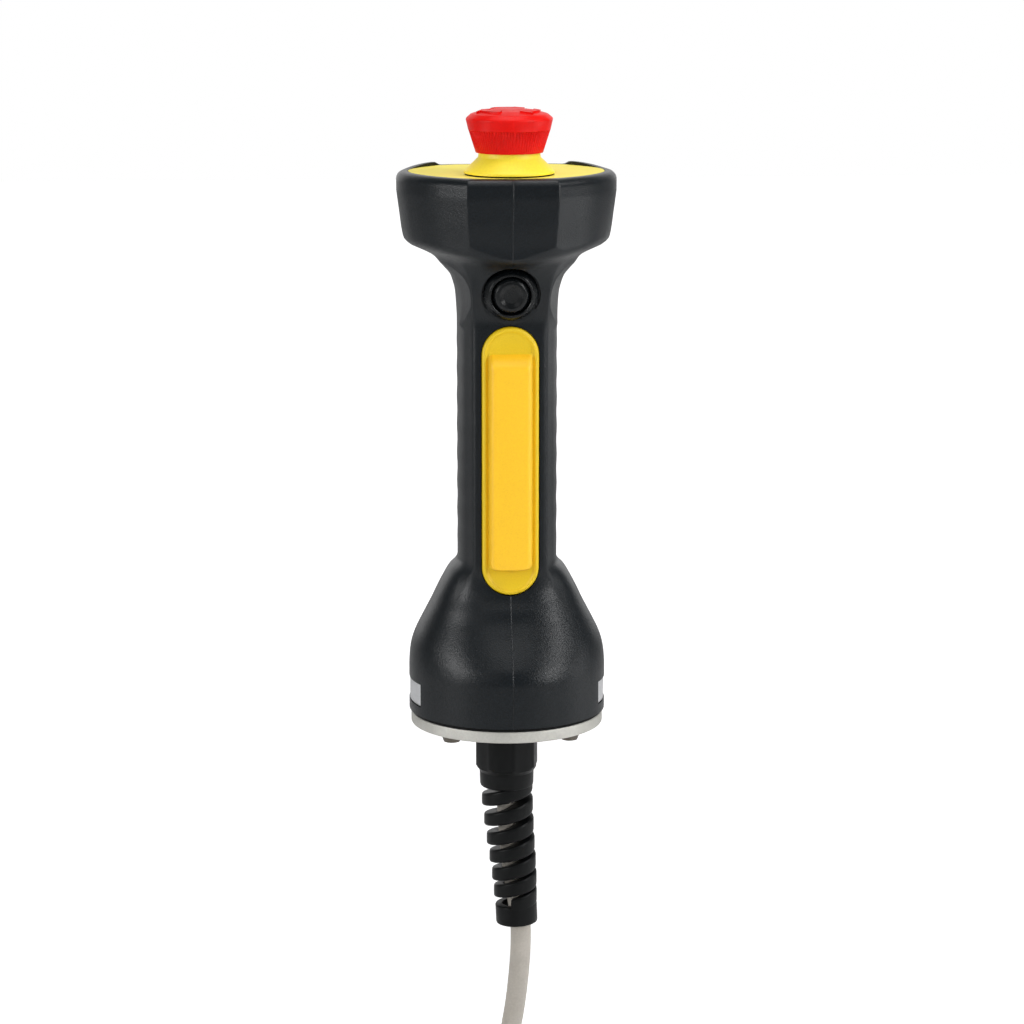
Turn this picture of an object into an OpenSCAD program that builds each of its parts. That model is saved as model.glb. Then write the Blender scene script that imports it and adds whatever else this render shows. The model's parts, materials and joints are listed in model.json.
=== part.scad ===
// Hand-held enabling switch with emergency stop, push-button and trailing cable.
// Origin on the grip's axis at half the height of the trigger, +Z up, trigger towards -Y. Millimetres.

/* [Grip] */
// Width of the grip between its sides
grip_w = 34.4; // [32:0.2:40]
// Distance from the axis to the flat trigger panel
grip_front = 19.5; // [19:0.1:23]
// Distance from the axis to the back of the grip
grip_back = 19; // [19:0.1:24]
// Width of the flat trigger panel
panel_w = 24.8; // [24:0.2:27]
// Height of the straight grip above the trigger's middle
grip_up = 48; // [47:0.5:60]
// Height of the straight grip below the trigger's middle
grip_down = 36; // [35:0.5:44]
// Wall thickness of the housing
wall = 2.5; // [2:0.1:3]

/* [Head] */
// Height from the straight grip to the lower edge of the head's sides
neck_h = 27.5; // [25:0.5:35]
// Height of the head's sides
head_h = 22.5; // [21:0.5:30]
// Greatest width of the head
head_w = 75.6; // [72:0.2:90]
// Reach of the head in front of the grip's axis
head_front = 34.5; // [33.5:0.1:40]
// Reach of the head behind the grip's axis
head_back = 28.5; // [26:0.1:36]
// Width of the flat facet in the middle of the head's front
head_facet_w = 30.8; // [24:0.2:36]
// How much the neck's front facet widens on each side beside the button
neck_facet = 1; // [0:0.1:1.5]
// How much the head's sides draw in towards their lower edge
head_draft = 2.3; // [0:0.1:4]
// Height of the rim beside and behind the top plate
rim_lip = 1.5; // [0.5:0.1:3]
// Width of the gap in the rim at the back
rim_notch_w = 40; // [30:1:46]
// Distance from the head's outside to the top plate
rim_w = 4.1; // [3.6:0.1:5]
// Thickness of the top plate
top_plate_t = 2; // [1.5:0.1:3]

/* [Base] */
// Diameter of the base
base_d = 68.8; // [66:0.2:84]
// Height of the flare between the grip and the base
flare_h = 40; // [36:0.5:55]
// Height of the straight skirt of the base
skirt_h = 14.8; // [13.5:0.1:24]
// Depth of the valley between the two lobes of the base
valley = 1.2; // [0:0.1:2]
// Thickness of the gasket
gasket_t = 1.2; // [0.8:0.1:2]
// Thickness of the base plate
base_plate_t = 4; // [3:0.1:6]
// Width of the gasket's ring
gasket_w = 9.9; // [9.5:0.1:14]
// Distance from the base's rim to the axis of a base screw
base_screw_in = 5.4; // [5:0.1:5.8]
// Height of the bosses for the base screws
base_boss_h = 12; // [8:0.5:13]
// Diameter of the base screws
base_screw_d = 4; // [3:0.1:4]
// Height of the bare side plates
side_plate_h = 8.6; // [6:0.1:10]
// Half angle that a side plate covers
side_plate_angle = 25; // [10:1:30]
// Height of a side plate's lower edge above the foot of the housing
side_plate_z = 2.8; // [1.2:0.1:5]

/* [Trigger] */
// Width of the trigger bar
trigger_w = 14.4; // [12:0.1:15]
// Length of the trigger bar
trigger_l = 74.8; // [60:0.2:75]
// How far the bar stands out of its boot
trigger_proud = 3.8; // [2:0.1:6]
// Travel from rest to the panic stop
trigger_travel = 4.5; // [3:0.1:5]
// Width of the rubber boot
boot_w = 19.5; // [18:0.1:20]
// Length of the rubber boot
boot_l = 93.3; // [90:0.1:94]
// How far the boot stands out of the panel
boot_proud = 1.1; // [0.5:0.1:2]
// Width of one enabling switch
enable_w = 16; // [12:0.5:18]
// Length of one enabling switch
enable_l = 26; // [20:0.5:28]
// Depth of one enabling switch
enable_d = 12; // [10:0.5:13]
// Distance of each enabling switch from the trigger's middle
enable_at = 20; // [16:0.5:22]

/* [Push-button] */
// Height of the button's seat above the trigger's middle
button_z = 58.2; // [57.8:0.1:60]
// Distance of the seat from the grip's axis
button_y = 21.9; // [21:0.1:23]
// Downward tilt of the button's axis
button_tilt = 16; // [10:1:20]
// Diameter of the recess in the neck
button_recess_d = 19.8; // [19:0.1:20.4]
// Outside diameter of the bezel
bezel_d = 18.6; // [17.6:0.1:18.8]
// Height of the bezel
bezel_h = 1.2; // [0.8:0.1:2]
// Diameter of the bezel's bore
bezel_bore = 14.2; // [13.6:0.1:14.8]
// Diameter of the button's cap
button_d = 12.8; // [11:0.1:13]
// How far the cap stands out of its seat
button_proud = 2.4; // [2.2:0.1:4]
// Travel of the button
button_travel = 1.8; // [1:0.1:2]
// Diameter of the button's threaded barrel
button_barrel_d = 16; // [15.6:0.1:16.6]

/* [Emergency stop] */
// Distance of the knob's axis in front of the grip's axis
stop_y = 14.5; // [12:0.1:15]
// Diameter of the knob
knob_d = 29.6; // [29:0.1:31]
// Diameter of the knob's lower edge
knob_foot_d = 24.4; // [24.2:0.1:25]
// Height of the knob
knob_h = 15; // [14.5:0.1:20]
// Height of the knob's lower edge above the top plate
knob_gap = 7.5; // [7.2:0.1:9]
// Travel of the knob
knob_travel = 2; // [1.5:0.1:2.1]
// Diameter of the collar's foot
collar_d = 30.8; // [29:0.1:31]
// Diameter of the collar's top
collar_top_d = 21.4; // [20:0.1:22]
// Diameter of the threaded barrel
barrel_d = 21.8; // [20:0.1:22]
// Length of the barrel below the top plate
barrel_l = 15.5; // [14:0.1:18]
// Diameter of the stem
stem_d = 9; // [7:0.1:10]
// Size of the ring nut over its corners
stop_nut_d = 28.2; // [27:0.1:29]
// Height of the ring nut
stop_nut_h = 4.5; // [3:0.1:6]

/* [Gland] */
// Size of the gland nut over its corners
gland_d = 22.6; // [21:0.1:24]
// Length of the faceted part of the nut
gland_nut_l = 17.5; // [16:0.1:22]
// Diameter of the round skirt below it
gland_skirt_d = 19; // [18.5:0.1:20]
// Length of the round skirt
gland_skirt_l = 6.5; // [5:0.1:9]
// Diameter of the gland's thread
gland_thread_d = 16; // [15:0.1:16]
// Length of the gland's sleeve below the base plate
sleeve_l = 12; // [10:0.5:14]
// Height of the sleeve's hexagon inside the base
sleeve_hex_h = 3.5; // [2.5:0.1:5]
// Number of turns of the bend protector
spiral_turns = 6; // [3:1:8]
// Distance between two turns
spiral_pitch = 6.9; // [6:0.1:8]
// Diameter of the end ring
ring_d = 14.8; // [14:0.1:16]
// Length of the end ring
ring_l = 8.6; // [6:0.1:12]
// Sideways bend of the protector at its end
spiral_lean = 3.4; // [2.8:0.1:3.8]

/* [Cord] */
// Diameter of the cable
cord_d = 7.3; // [6.9:0.1:7.4]
// Diameter of the coil at the middle of its turns
coil_d = 95; // [92:1:98]
// Turns side by side in the coil
coil_rows = 4; // [3:1:5]
// Turns on top of each other in the coil
coil_layers = 5; // [4:1:6]
// Distance between neighbouring turns
coil_pitch = 7.4; // [7.4:0.05:7.5]
// Thickness of the tie
tie_t = 1.2; // [0.8:0.1:1.5]
// Width of the tie
tie_w = 8; // [5:0.5:14]

/* [Connector] */
// Diameter of the connector's body
plug_d = 19; // [18:0.1:19]
// Length of the connector's body
plug_l = 22; // [20:0.5:30]
// Diameter of the clamp nut
clamp_d = 18; // [16:0.1:18.5]
// Length of the clamp nut
clamp_l = 14; // [12:0.5:18]
// Diameter of the coupling thread
coupling_d = 12; // [12:0.1:12]
// Length of the coupling thread
coupling_l = 10; // [8:0.5:12]
// Diameter of the knurled coupling ring
coupling_ring_d = 17; // [15:0.1:18]
// Length of the knurled coupling ring
coupling_ring_l = 7.6; // [6:0.1:10]
// Diameter of the insert
insert_d = 9; // [8.6:0.1:9.2]

/* [Fasteners and fits] */
// Diameter of the housing screws
screw_d = 3; // [2.5:0.1:3]
// Diameter of the small screws inside
small_screw_d = 2.5; // [2:0.1:2.6]
// Depth that a carrier screw reaches into its switch
small_screw_bite = 4.5; // [3:0.1:6]
// Distance from the carrier to the circuit board
board_gap = 2.4; // [1.8:0.1:3]
// Radial clearance of a running fit
running = 0.05; // [0.02:0.01:0.08]
// Radial clearance around pieces that stand free
free = 0.3; // [0.2:0.05:0.4]

/* [Hidden] */
$fn = 48;

black = [0.13, 0.14, 0.15];
dark = [0.09, 0.10, 0.10];
yellow = [0.97, 0.85, 0.25];
amber = [0.99, 0.78, 0.18];
red = [0.86, 0.12, 0.08];
steel = [0.74, 0.74, 0.73];
brass = [0.80, 0.66, 0.32];
rubber = [0.16, 0.16, 0.16];
grey = [0.66, 0.64, 0.61];
green = [0.10, 0.36, 0.22];

// Levels along the grip's axis
head_low_z = grip_up + neck_h;
top_z = head_low_z + head_h;
ledge_z = top_z - top_plate_t;
shoulder_z = -grip_down - flare_h;
foot_z = shoulder_z - skirt_h;
base_plate_top = foot_z - gasket_t;
base_plate_low = base_plate_top - base_plate_t;

// A section of the housing: front, half facet, half width, start and end of the straight side,
// half facet at the back, back, rounding of the four corners, dip of the front
octagon = tan(22.5);
base_r = base_d / 2;
base_pcd = base_d - 2 * base_screw_in;
grip_section = [grip_front, panel_w / 2, grip_w / 2, 9, 8, 9, grip_back, 0.22, 0.85, 0.9, 0.9, 0];
base_section = [
    base_r, octagon * base_r, base_r, octagon * base_r, octagon * base_r, octagon * base_r, base_r,
    0.96, 0.96, 0.96, 0.96, 0
];
head_section = [
    head_front, head_facet_w / 2, head_w / 2, 8, 10, rim_notch_w / 2 + 2, head_back,
    0.22, 0.85, 0.85, 0.35, 0
];
head_low_section = head_section - head_draft * [1, octagon, 1, octagon, octagon, octagon, 1, 0, 0, 0, 0, 0];
plate_section = inset(head_section, rim_w, [0.8, 0.95, 0.95, 0.5]);

// Shares of the way from grip to base: height, width, depth
flare_rows = [
    [0, 0, 0], [0.05, 0.05, 0], [0.1, 0.17, 0], [0.2, 0.31, 0.02], [0.3, 0.43, 0.1], [0.4, 0.54, 0.25],
    [0.5, 0.66, 0.41], [0.6, 0.78, 0.58], [0.7, 0.89, 0.73], [0.8, 0.96, 0.86], [0.9, 0.99, 0.95], [1, 1, 1]
];
// Shares of the way from grip to head: height, width, depth, widening of the front facet
neck_rows = [
    [0, 0, 0, 0], [0.18, 0.015, 0.12, 0.5], [0.33, 0.035, 0.235, 1], [0.47, 0.09, 0.34, 1],
    [0.55, 0.14, 0.41, 0.8], [0.63, 0.24, 0.51, 0.5], [0.71, 0.35, 0.63, 0.2], [0.765, 0.42, 0.72, 0],
    [0.81, 0.52, 0.79, 0], [0.86, 0.68, 0.87, 0], [0.93, 0.9, 0.97, 0], [1, 1, 1, 0]
];

function ease(u) = let(v = min(1, max(0, u))) v * v * (3 - 2 * v);
function blend(a, b, width, depth) =
    let(s = [depth, depth, width, width, width, depth, depth, width, width, width, width, depth])
    [for (i = [0 : len(a) - 1]) a[i] + (b[i] - a[i]) * s[i]];
function inset(s, d, corners) = [
    s[0] - d, s[1] - octagon * d, s[2] - d, s[3] - octagon * d, s[4] - octagon * d, s[5] - octagon * d,
    s[6] - d,
    corners[0], corners[1], corners[2], corners[3], s[11]
];
function inset_same(s, d) = inset(s, d, [s[7], s[8], s[9], s[10]]);
function curve(a, v, b, t) =
    let(p = v + (a - v) * t, q = v + (b - v) * t)
    [for (u = [0, 1 / 3, 2 / 3, 1]) (1 - u) * (1 - u) * p + 2 * u * (1 - u) * v + u * u * q];
// Right half of a section's outline, from the front to the back
function half_outline(s) =
    let(
        p0 = [0, s[11] - s[0]],
        p1 = [s[1], -s[0]],
        p2 = [s[2], -s[3]],
        p3 = [s[2], s[4]],
        p4 = [s[5], s[6]],
        p5 = [0, s[6]],
        m12 = (p1 + p2) / 2,
        m23 = (p2 + p3) / 2,
        m34 = (p3 + p4) / 2
    )
    concat(
        [p0], curve(p0, p1, m12, s[7]), curve(m12, p2, m23, s[8]), curve(m23, p3, m34, s[9]),
        curve(m34, p4, p5, s[10]), [p5]
    );
function backwards(v) = [for (i = [len(v) - 1 : -1 : 0]) v[i]];
function mirrored(v) = [for (p = v) [-p.x, p.y]];
function outline(s) =
    let(h = half_outline(s), inner = [for (i = [1 : len(h) - 2]) h[i]])
    concat(h, backwards(mirrored(inner)));
// Height of the rim: none at the front and in the gap at the back
function lip(p) =
    let(beside = p.y < head_back / 2 ? 1 : ease((p.x - rim_notch_w / 2 + 1) / 4))
    rim_lip * ease(p.y / head_front + 0.8) * beside;

// Shell stations: outer level and section, inner level and section, share of the rim outside and inside
function plain(z, s) = [z, s, z, inset_same(s, wall), 0, 0];
function dipped(s, d) = [for (i = [0 : len(s) - 1]) i == 11 ? d : s[i]];
function widened(s, d) = [for (i = [0 : len(s) - 1]) i == 1 ? s[i] + d : s[i]];
plate_hole = inset_same(plate_section, -free / 2);
ledge_section = inset_same(plate_section, 2);
stations = concat(
    [plain(foot_z, base_section), plain(shoulder_z - skirt_h / 2, base_section)],
    [for (i = [len(flare_rows) - 1 : -1 : 0])
        let(r = flare_rows[i])
        plain(
            -grip_down - flare_h * r[0],
            dipped(
                blend(grip_section, base_section, r[1], r[2]),
                valley * sin(180 * ease(r[0] * 1.25 - 0.2))
            )
        )
    ],
    [for (r = neck_rows)
        plain(
            grip_up + neck_h * r[0],
            widened(blend(grip_section, head_low_section, r[1], r[2]), neck_facet * r[3])
        )
    ],
    [
        plain(head_low_z + head_h * 0.4, blend(head_low_section, head_section, 0.6, 0.6)),
        plain(ledge_z - 4.5, head_section),
        [ledge_z - 2, head_section, ledge_z - 3.5, ledge_section, 0.2, 0],
        [ledge_z + 0.4, inset_same(head_section, 0.2), ledge_z, ledge_section, 0.6, 0],
        [top_z - 0.8, inset_same(head_section, 0.8), ledge_z, plate_hole, 0.9, 0],
        [top_z, inset_same(head_section, rim_w * 0.6), top_z, plate_hole, 1, 1]
    ]
);
ring_points = 2 * len(half_outline(grip_section));
shell_points = [
    for (s = stations)
        each concat(
            [for (p = half_outline(s[1])) [p.x, p.y, s[0] + s[4] * lip(p)]],
            backwards([for (p = half_outline(s[3])) [p.x, p.y, s[2] + s[5] * lip(p)]])
        )
];
function quad(a, b, c, d) = [[a, b, c], [a, c, d]];
shell_faces = concat(
    [for (i = [0 : len(stations) - 2], k = [0 : ring_points - 1])
        let(n = ring_points, a = i * n + k, b = i * n + (k + 1) % n)
        each quad(a, a + n, b + n, b)
    ],
    [for (k = [0 : ring_points / 2 - 2])
        let(n = ring_points, t = (len(stations) - 1) * n)
        each concat(
            quad(k, k + 1, n - 2 - k, n - 1 - k),
            quad(t + n - 1 - k, t + n - 2 - k, t + k + 1, t + k)
        )
    ]
);

// Housing screws: depth and height of each axis
housing_screw_y = grip_back - wall - 3.1;
screws_at = [
    [housing_screw_y, grip_up - 7],
    [housing_screw_y, 4 - grip_down],
    [head_back - head_draft - wall - 1.1, head_low_z + 9]
];
screw_head_x = 7;
screw_tip_x = -8;
lug_w = 4;
lug_d = 5.4;
boss_d = screw_d + 4;
boss_x = 8.5;
head_boss_x = 16;

// Places inside the grip
inner_front = grip_front - wall;
lip_t = 1.5;
lip_y = -inner_front + free;
paddle_y = lip_y + lip_t + free;
paddle_t = 2.2;
enable_y = -6;
plunger_d = 5;
carrier_y = enable_y + enable_d;
carrier_t = 2.5;
carrier_w = grip_w - 2 * wall - 3;
carrier_top = grip_up - 2;
board_t = 1.6;
board_y = carrier_y - board_gap - board_t;
board_w = 21;
board_top = -grip_down - 10;
board_low = shoulder_z - 4;
carrier_low = board_low - 2;
block_z = (board_top + board_low) / 2;
wires_at = [[-2.6, -1.2], [-0.9, -1.9], [0.9, -1.9], [2.6, -1.2]];
wire_d = 1.3;
small_head_d = small_screw_d * 1.8;
small_head_h = small_screw_d * 0.6;

// Emergency stop
seal_t = 0.5;
collar_z = top_z + seal_t;
knob_z = top_z + knob_gap;
socket_z = collar_z + 1.5;
flange_t = 2.5;
barrel_low = top_z - top_plate_t - barrel_l;
barrel_floor = 2;
stem_top = knob_z + 10.5;
collar_top = knob_z + 1;
tip_d = 6;
contact_h = 7;

// Cable gland
sleeve_low = base_plate_low - sleeve_l;
nut_low = base_plate_low - gland_nut_l;
spiral_top = nut_low - gland_skirt_l;
spiral_low = spiral_top - spiral_turns * spiral_pitch;
gland_bore = cord_d + 2.6;
gland_turn = 10;
washer_t = 1;
function lean_x(z) = spiral_lean * pow(max(0, nut_low - z) / (nut_low - spiral_low), 2);
lean_angle = atan(2 * spiral_lean / (nut_low - spiral_low));

// Cable route: the free stretch from the gland to the coil, and from the coil to the connector
cord_start = [0, 0, -84];
lead_route = [
    cord_start, [0, 0, -100], [0, 0, -116], [0.3, 0, -130], [1.4, 0, -145], [3.2, 0, -158],
    [4.8, 0, -170], [5, 0, -180], [4.2, 0, -192], [2.6, 0, -205], [0, 0, -218], [-3, 0, -227],
    [-8, 0, -235], [-15, 0, -241.5], [-24, 0, -246], [-36, 0, -247.7]
];
coil_x = -36;
coil_y = -58.6;
coil_top = -244;
tail_route = [
    [-18, 31.5, -247.7], [-28, 23.5, -247], [-35.7, 13, -245], [-40.5, 1, -242.4],
    [-41.5, -11, -240.6], [-39.7, -21, -239.6], [-35.5, -29, -238.4], [-28.5, -38, -236.6],
    [-19.5, -43.3, -235], [-9, -45, -234.4], [4, -45, -234.4]
];
coil_w = coil_rows * coil_pitch;
coil_h = coil_layers * coil_pitch;
coil_z = coil_top - coil_h;
plug_z = coil_top + plug_d / 2 + 0.1;
plug_at = [coil_x - 9, coil_y - 45, plug_z];
plug_seat = clamp_l + plug_l - 8;
plug_end = clamp_l + plug_l + coupling_ring_l + coupling_l;
contact_d = 1.6;

function unit(v) = v / norm(v);
function heading(p, i) = unit(p[min(len(p) - 1, i + 1)] - p[max(0, i - 1)]);
function tube_points(p, r, sides, side_way) = [
    for (i = [0 : len(p) - 1], k = [0 : sides - 1])
        let(t = heading(p, i), n = unit(cross(t, side_way)), b = cross(t, n), a = 360 * k / sides)
        p[i] + r * (cos(a) * n + sin(a) * b)
];
// Faces of a closed tube of count rings
function tube_faces(count, sides) = concat(
    [for (i = [0 : count - 2], k = [0 : sides - 1])
        let(a = i * sides + k, b = i * sides + (k + 1) % sides)
        each quad(a, a + sides, b + sides, b)
    ],
    [for (k = [1 : sides - 2]) [0, k, k + 1]],
    [for (k = [1 : sides - 2]) let(t = (count - 1) * sides) [t, t + k + 1, t + k]]
);
module tube(p, d, sides, side_way) {
    polyhedron(tube_points(p, d / 2, sides, side_way), tube_faces(len(p), sides), convexity = 6);
}

// Shapes that repeat
module rod(d, l, at = 0) {
    translate([0, 0, at]) cylinder(d = d, h = l);
}
module ring(outer, inner, h, at = 0) {
    translate([0, 0, at]) difference() {
        cylinder(d = outer, h = h);
        translate([0, 0, -1]) cylinder(d = inner, h = h + 2);
    }
}
module block(x0, x1, y0, y1, z0, z1) {
    translate([x0, y0, z0]) cube([x1 - x0, y1 - y0, z1 - z0]);
}
// A stadium in the XZ plane, from depth y0 to y1
module stadium(w, l, y0, y1) {
    for (s = [-1, 1])
        translate([0, y1, s * (l - w) / 2]) rotate([90, 0, 0]) cylinder(d = w, h = y1 - y0);
    block(-w / 2, w / 2, y0, y1, (w - l) / 2, (l - w) / 2);
}
// Rods along +X and along +Y
module rod_x(d, x0, x1, y, z) {
    translate([x0, y, z]) rotate([0, 90, 0]) cylinder(d = d, h = x1 - x0);
}
module rod_y(d, y0, y1, x, z) {
    translate([x, y1, z]) rotate([90, 0, 0]) cylinder(d = d, h = y1 - y0);
}
// Children drawn in the button's own frame, +Z out of the neck
module at_button() {
    translate([0, -button_y, button_z]) rotate([90 + button_tilt, 0, 0]) children();
}
module at_stop() {
    translate([0, -stop_y, 0]) children();
}
module at_base_screws() {
    for (a = [45 : 90 : 315]) rotate(a) translate([base_pcd / 2, 0, 0]) children();
}
// Children drawn along the connector's axis, +Z towards its open end
module at_plug() {
    translate(plug_at) rotate([0, 90, 0]) children();
}

// Cuts that both halves of the housing share
module housing_cuts() {
    at_button() {
        rod(button_recess_d, 12);
        rod(button_barrel_d + 2 * running, 30, -15);
    }
    stadium(boot_w + 2 * free, boot_l + 2 * free, -grip_front - 8, -inner_front + 6);
    at_base_screws() rod(base_screw_d + 2 * running, base_boss_h + 1.2, foot_z - 1);
    for (s = [0, 180]) rotate(s - side_plate_angle - 0.5)
        translate([0, 0, foot_z + side_plate_z - 0.2])
            rotate_extrude(angle = 2 * side_plate_angle + 1)
                translate([base_r - 0.6, 0]) square([3, side_plate_h + 0.4]);
}
// Bosses of the half on the +X side
module half_bosses() {
    intersection() {
        at_button() rod(button_recess_d + 3.2, 2.8, -2.6);
        block(0, head_w, -head_w, head_w, 0, top_z);
    }
    for (i = [0, 1]) rod_x(boss_d, lug_w / 2 + 0.1, boss_x, screws_at[i].x, screws_at[i].y);
    rod_x(boss_d, 0, head_boss_x, screws_at[2].x, screws_at[2].y);
    for (a = [-45, 45]) rotate(a) translate([base_pcd / 2, 0, 0])
        rod(base_screw_d + 3.6, base_boss_h, foot_z + 0.4);
}
module housing_right() {
    color(black) difference() {
        union() {
            polyhedron(shell_points, shell_faces, convexity = 10);
            half_bosses();
        }
        housing_cuts();
        for (s = screws_at) {
            rod_x(screw_d + 0.4, -1, 30, s.x, s.y);
            rod_x(screw_d + 3, screw_head_x, head_w, s.x, s.y);
        }
    }
}
module housing_left() {
    color(black) difference() {
        mirror([1, 0, 0]) union() {
            polyhedron(shell_points, shell_faces, convexity = 10);
            half_bosses();
        }
        housing_cuts();
        for (s = screws_at) rod_x(screw_d + 2 * running, screw_tip_x - 0.2, 1, s.x, s.y);
    }
}
module housing_screws() {
    color(steel) for (s = screws_at) difference() {
        union() {
            rod_x(screw_d, screw_tip_x, screw_head_x + 1, s.x, s.y);
            rod_x(screw_d + 2.4, screw_head_x, screw_head_x + screw_d * 0.8, s.x, s.y);
        }
        translate([screw_head_x + screw_d * 0.4, s.x, s.y])
            rotate([0, 90, 0]) cylinder(d = screw_d * 0.9, h = screw_d, $fn = 6);
    }
}
module top_plate() {
    color(yellow) difference() {
        translate([0, 0, ledge_z]) linear_extrude(top_plate_t) polygon(outline(plate_section));
        at_stop() rod(barrel_d + 2 * free, 10, ledge_z - 4);
    }
}

module estop_collar() {
    foot = 0.6;
    neck_z = knob_z - knob_travel;
    color(yellow) at_stop() rotate_extrude() polygon([
        [stem_d / 2 + running, socket_z], [barrel_d / 2 + running, socket_z],
        [barrel_d / 2 + running, collar_z], [collar_d / 2, collar_z], [collar_d / 2, collar_z + foot],
        [collar_d / 2 - 0.7, collar_z + foot + 0.7], [collar_top_d / 2 + 0.4, neck_z],
        [collar_top_d / 2, neck_z + 0.6], [collar_top_d / 2, collar_top], [stem_d / 2 + running, collar_top]
    ]);
}
module estop_seal() {
    color(dark) at_stop() ring(collar_d - 0.8, barrel_d + 2 * free, seal_t, top_z);
}
module estop_barrel() {
    color(dark) at_stop() {
        ring(barrel_d, barrel_d - 3.4, socket_z - barrel_low - barrel_floor, barrel_low + barrel_floor);
        ring(barrel_d, tip_d + 2 * free, barrel_floor, barrel_low);
    }
}
module estop_nut() {
    color(dark) at_stop() difference() {
        translate([0, 0, ledge_z - stop_nut_h]) cylinder(d = stop_nut_d, h = stop_nut_h, $fn = 6);
        rod(barrel_d + 2 * running, stop_nut_h + 2, ledge_z - stop_nut_h - 1);
    }
}
module estop_contacts() {
    half = 11;
    color(dark) at_stop() difference() {
        union() {
            block(-half, half, -half, half, barrel_low - contact_h, barrel_low);
            for (s = [-1, 1])
                block(s * half - 1.5, s * half + 1.5, -6, 6, barrel_low - contact_h, barrel_low - 2);
        }
        rod(tip_d + 2 * free, 5.5, barrel_low - 4.5);
    }
}
module estop_stem() {
    flange_z = socket_z - free - flange_t;
    color(dark) at_stop() {
        rod(stem_d, stem_top - flange_z, flange_z);
        rod(barrel_d - 3.4 - 2 * free, flange_t, flange_z);
        rod(tip_d, flange_z - barrel_low + 1, barrel_low - 1);
    }
}
module estop_spring() {
    low = barrel_low + barrel_floor;
    high = socket_z - free - flange_t;
    wire = 1.2;
    coil_r = 6.6;
    turns = 5;
    steps = 14;
    rise = (high - low - wire * 1.2) / (turns * steps);
    path = [
        for (i = [0 : turns * steps])
            let(a = 360 * i / steps)
            [coil_r * cos(a), coil_r * sin(a), low + wire * 0.6 + rise * i]
    ];
    color(steel) at_stop() tube(path, wire, 6, [0, 0, 1]);
}
module estop_knob() {
    foot = knob_foot_d / 2;
    edge = knob_d / 2;
    skirt = collar_top_d / 2 + 0.9;
    roof = collar_top + knob_travel + 0.6;
    top = knob_z + knob_h;
    arrows = 3;
    color(red) at_stop() {
        rotate_extrude($fn = 96) polygon([
            [stem_d / 2 + running, roof], [skirt, roof], [skirt, knob_z], [foot - 0.3, knob_z],
            [foot, knob_z + 0.4], [edge - 0.5, knob_z + 8], [edge, knob_z + 8.4], [edge, top - 2.9],
            [edge - 0.5, top - 2.3], [edge * 0.86, top - 1.7], [edge * 0.6, top - 0.7],
            [edge * 0.3, top - 0.15], [0, top],
            [0, stem_top + free], [stem_d / 2 + running, stem_top + free]
        ]);
        for (i = [0 : arrows - 1]) rotate(360 * i / arrows) twist_arrow(edge, top);
    }
}
// A raised arc with an arrow head on the knob's top
module twist_arrow(edge, top) {
    r = edge * 0.62;
    sweep = 58;
    translate([0, 0, top - 1.9]) {
        rotate_extrude(angle = sweep) translate([r - 1, 0]) square([2, 2]);
        rotate(sweep - 1) linear_extrude(2) polygon([[r - 2.4, 0], [r + 2.4, 0], [r - 0.4, 4.2]]);
    }
}

module push_button() {
    dish = 12;
    color(dark) at_button() difference() {
        union() {
            rod(button_d, button_proud + 4, -4);
            rod(tip_d, 9, -12);
        }
        translate([0, 0, button_proud - 0.7 + dish]) sphere(r = dish, $fn = 64);
    }
}
module button_bezel() {
    floor_z = -9;
    color(dark) at_button() difference() {
        union() {
            rotate_extrude() polygon([
                [bezel_bore / 2, 0], [bezel_d / 2, 0], [bezel_d / 2, bezel_h - 0.5],
                [bezel_d / 2 - 0.5, bezel_h], [bezel_bore / 2, bezel_h]
            ]);
            rod(button_barrel_d, 14, -14);
        }
        rod(bezel_bore, 20, floor_z + 2);
        rod(tip_d + 2 * running, 20, -16);
    }
}
module button_nut() {
    color(dark) at_button() difference() {
        translate([0, 0, -5.4]) rotate(30) cylinder(d = button_barrel_d + 5.6, h = 2.8, $fn = 6);
        rod(button_barrel_d + 2 * running, 10, -8);
    }
}
module button_switch() {
    color(dark) at_button() {
        translate([-6, -6, -19]) cube([12, 12, 5]);
        for (s = [-1, 1]) translate([s * 3 - 0.5, -1.5, -22]) cube([1, 3, 3.5]);
    }
}

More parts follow.
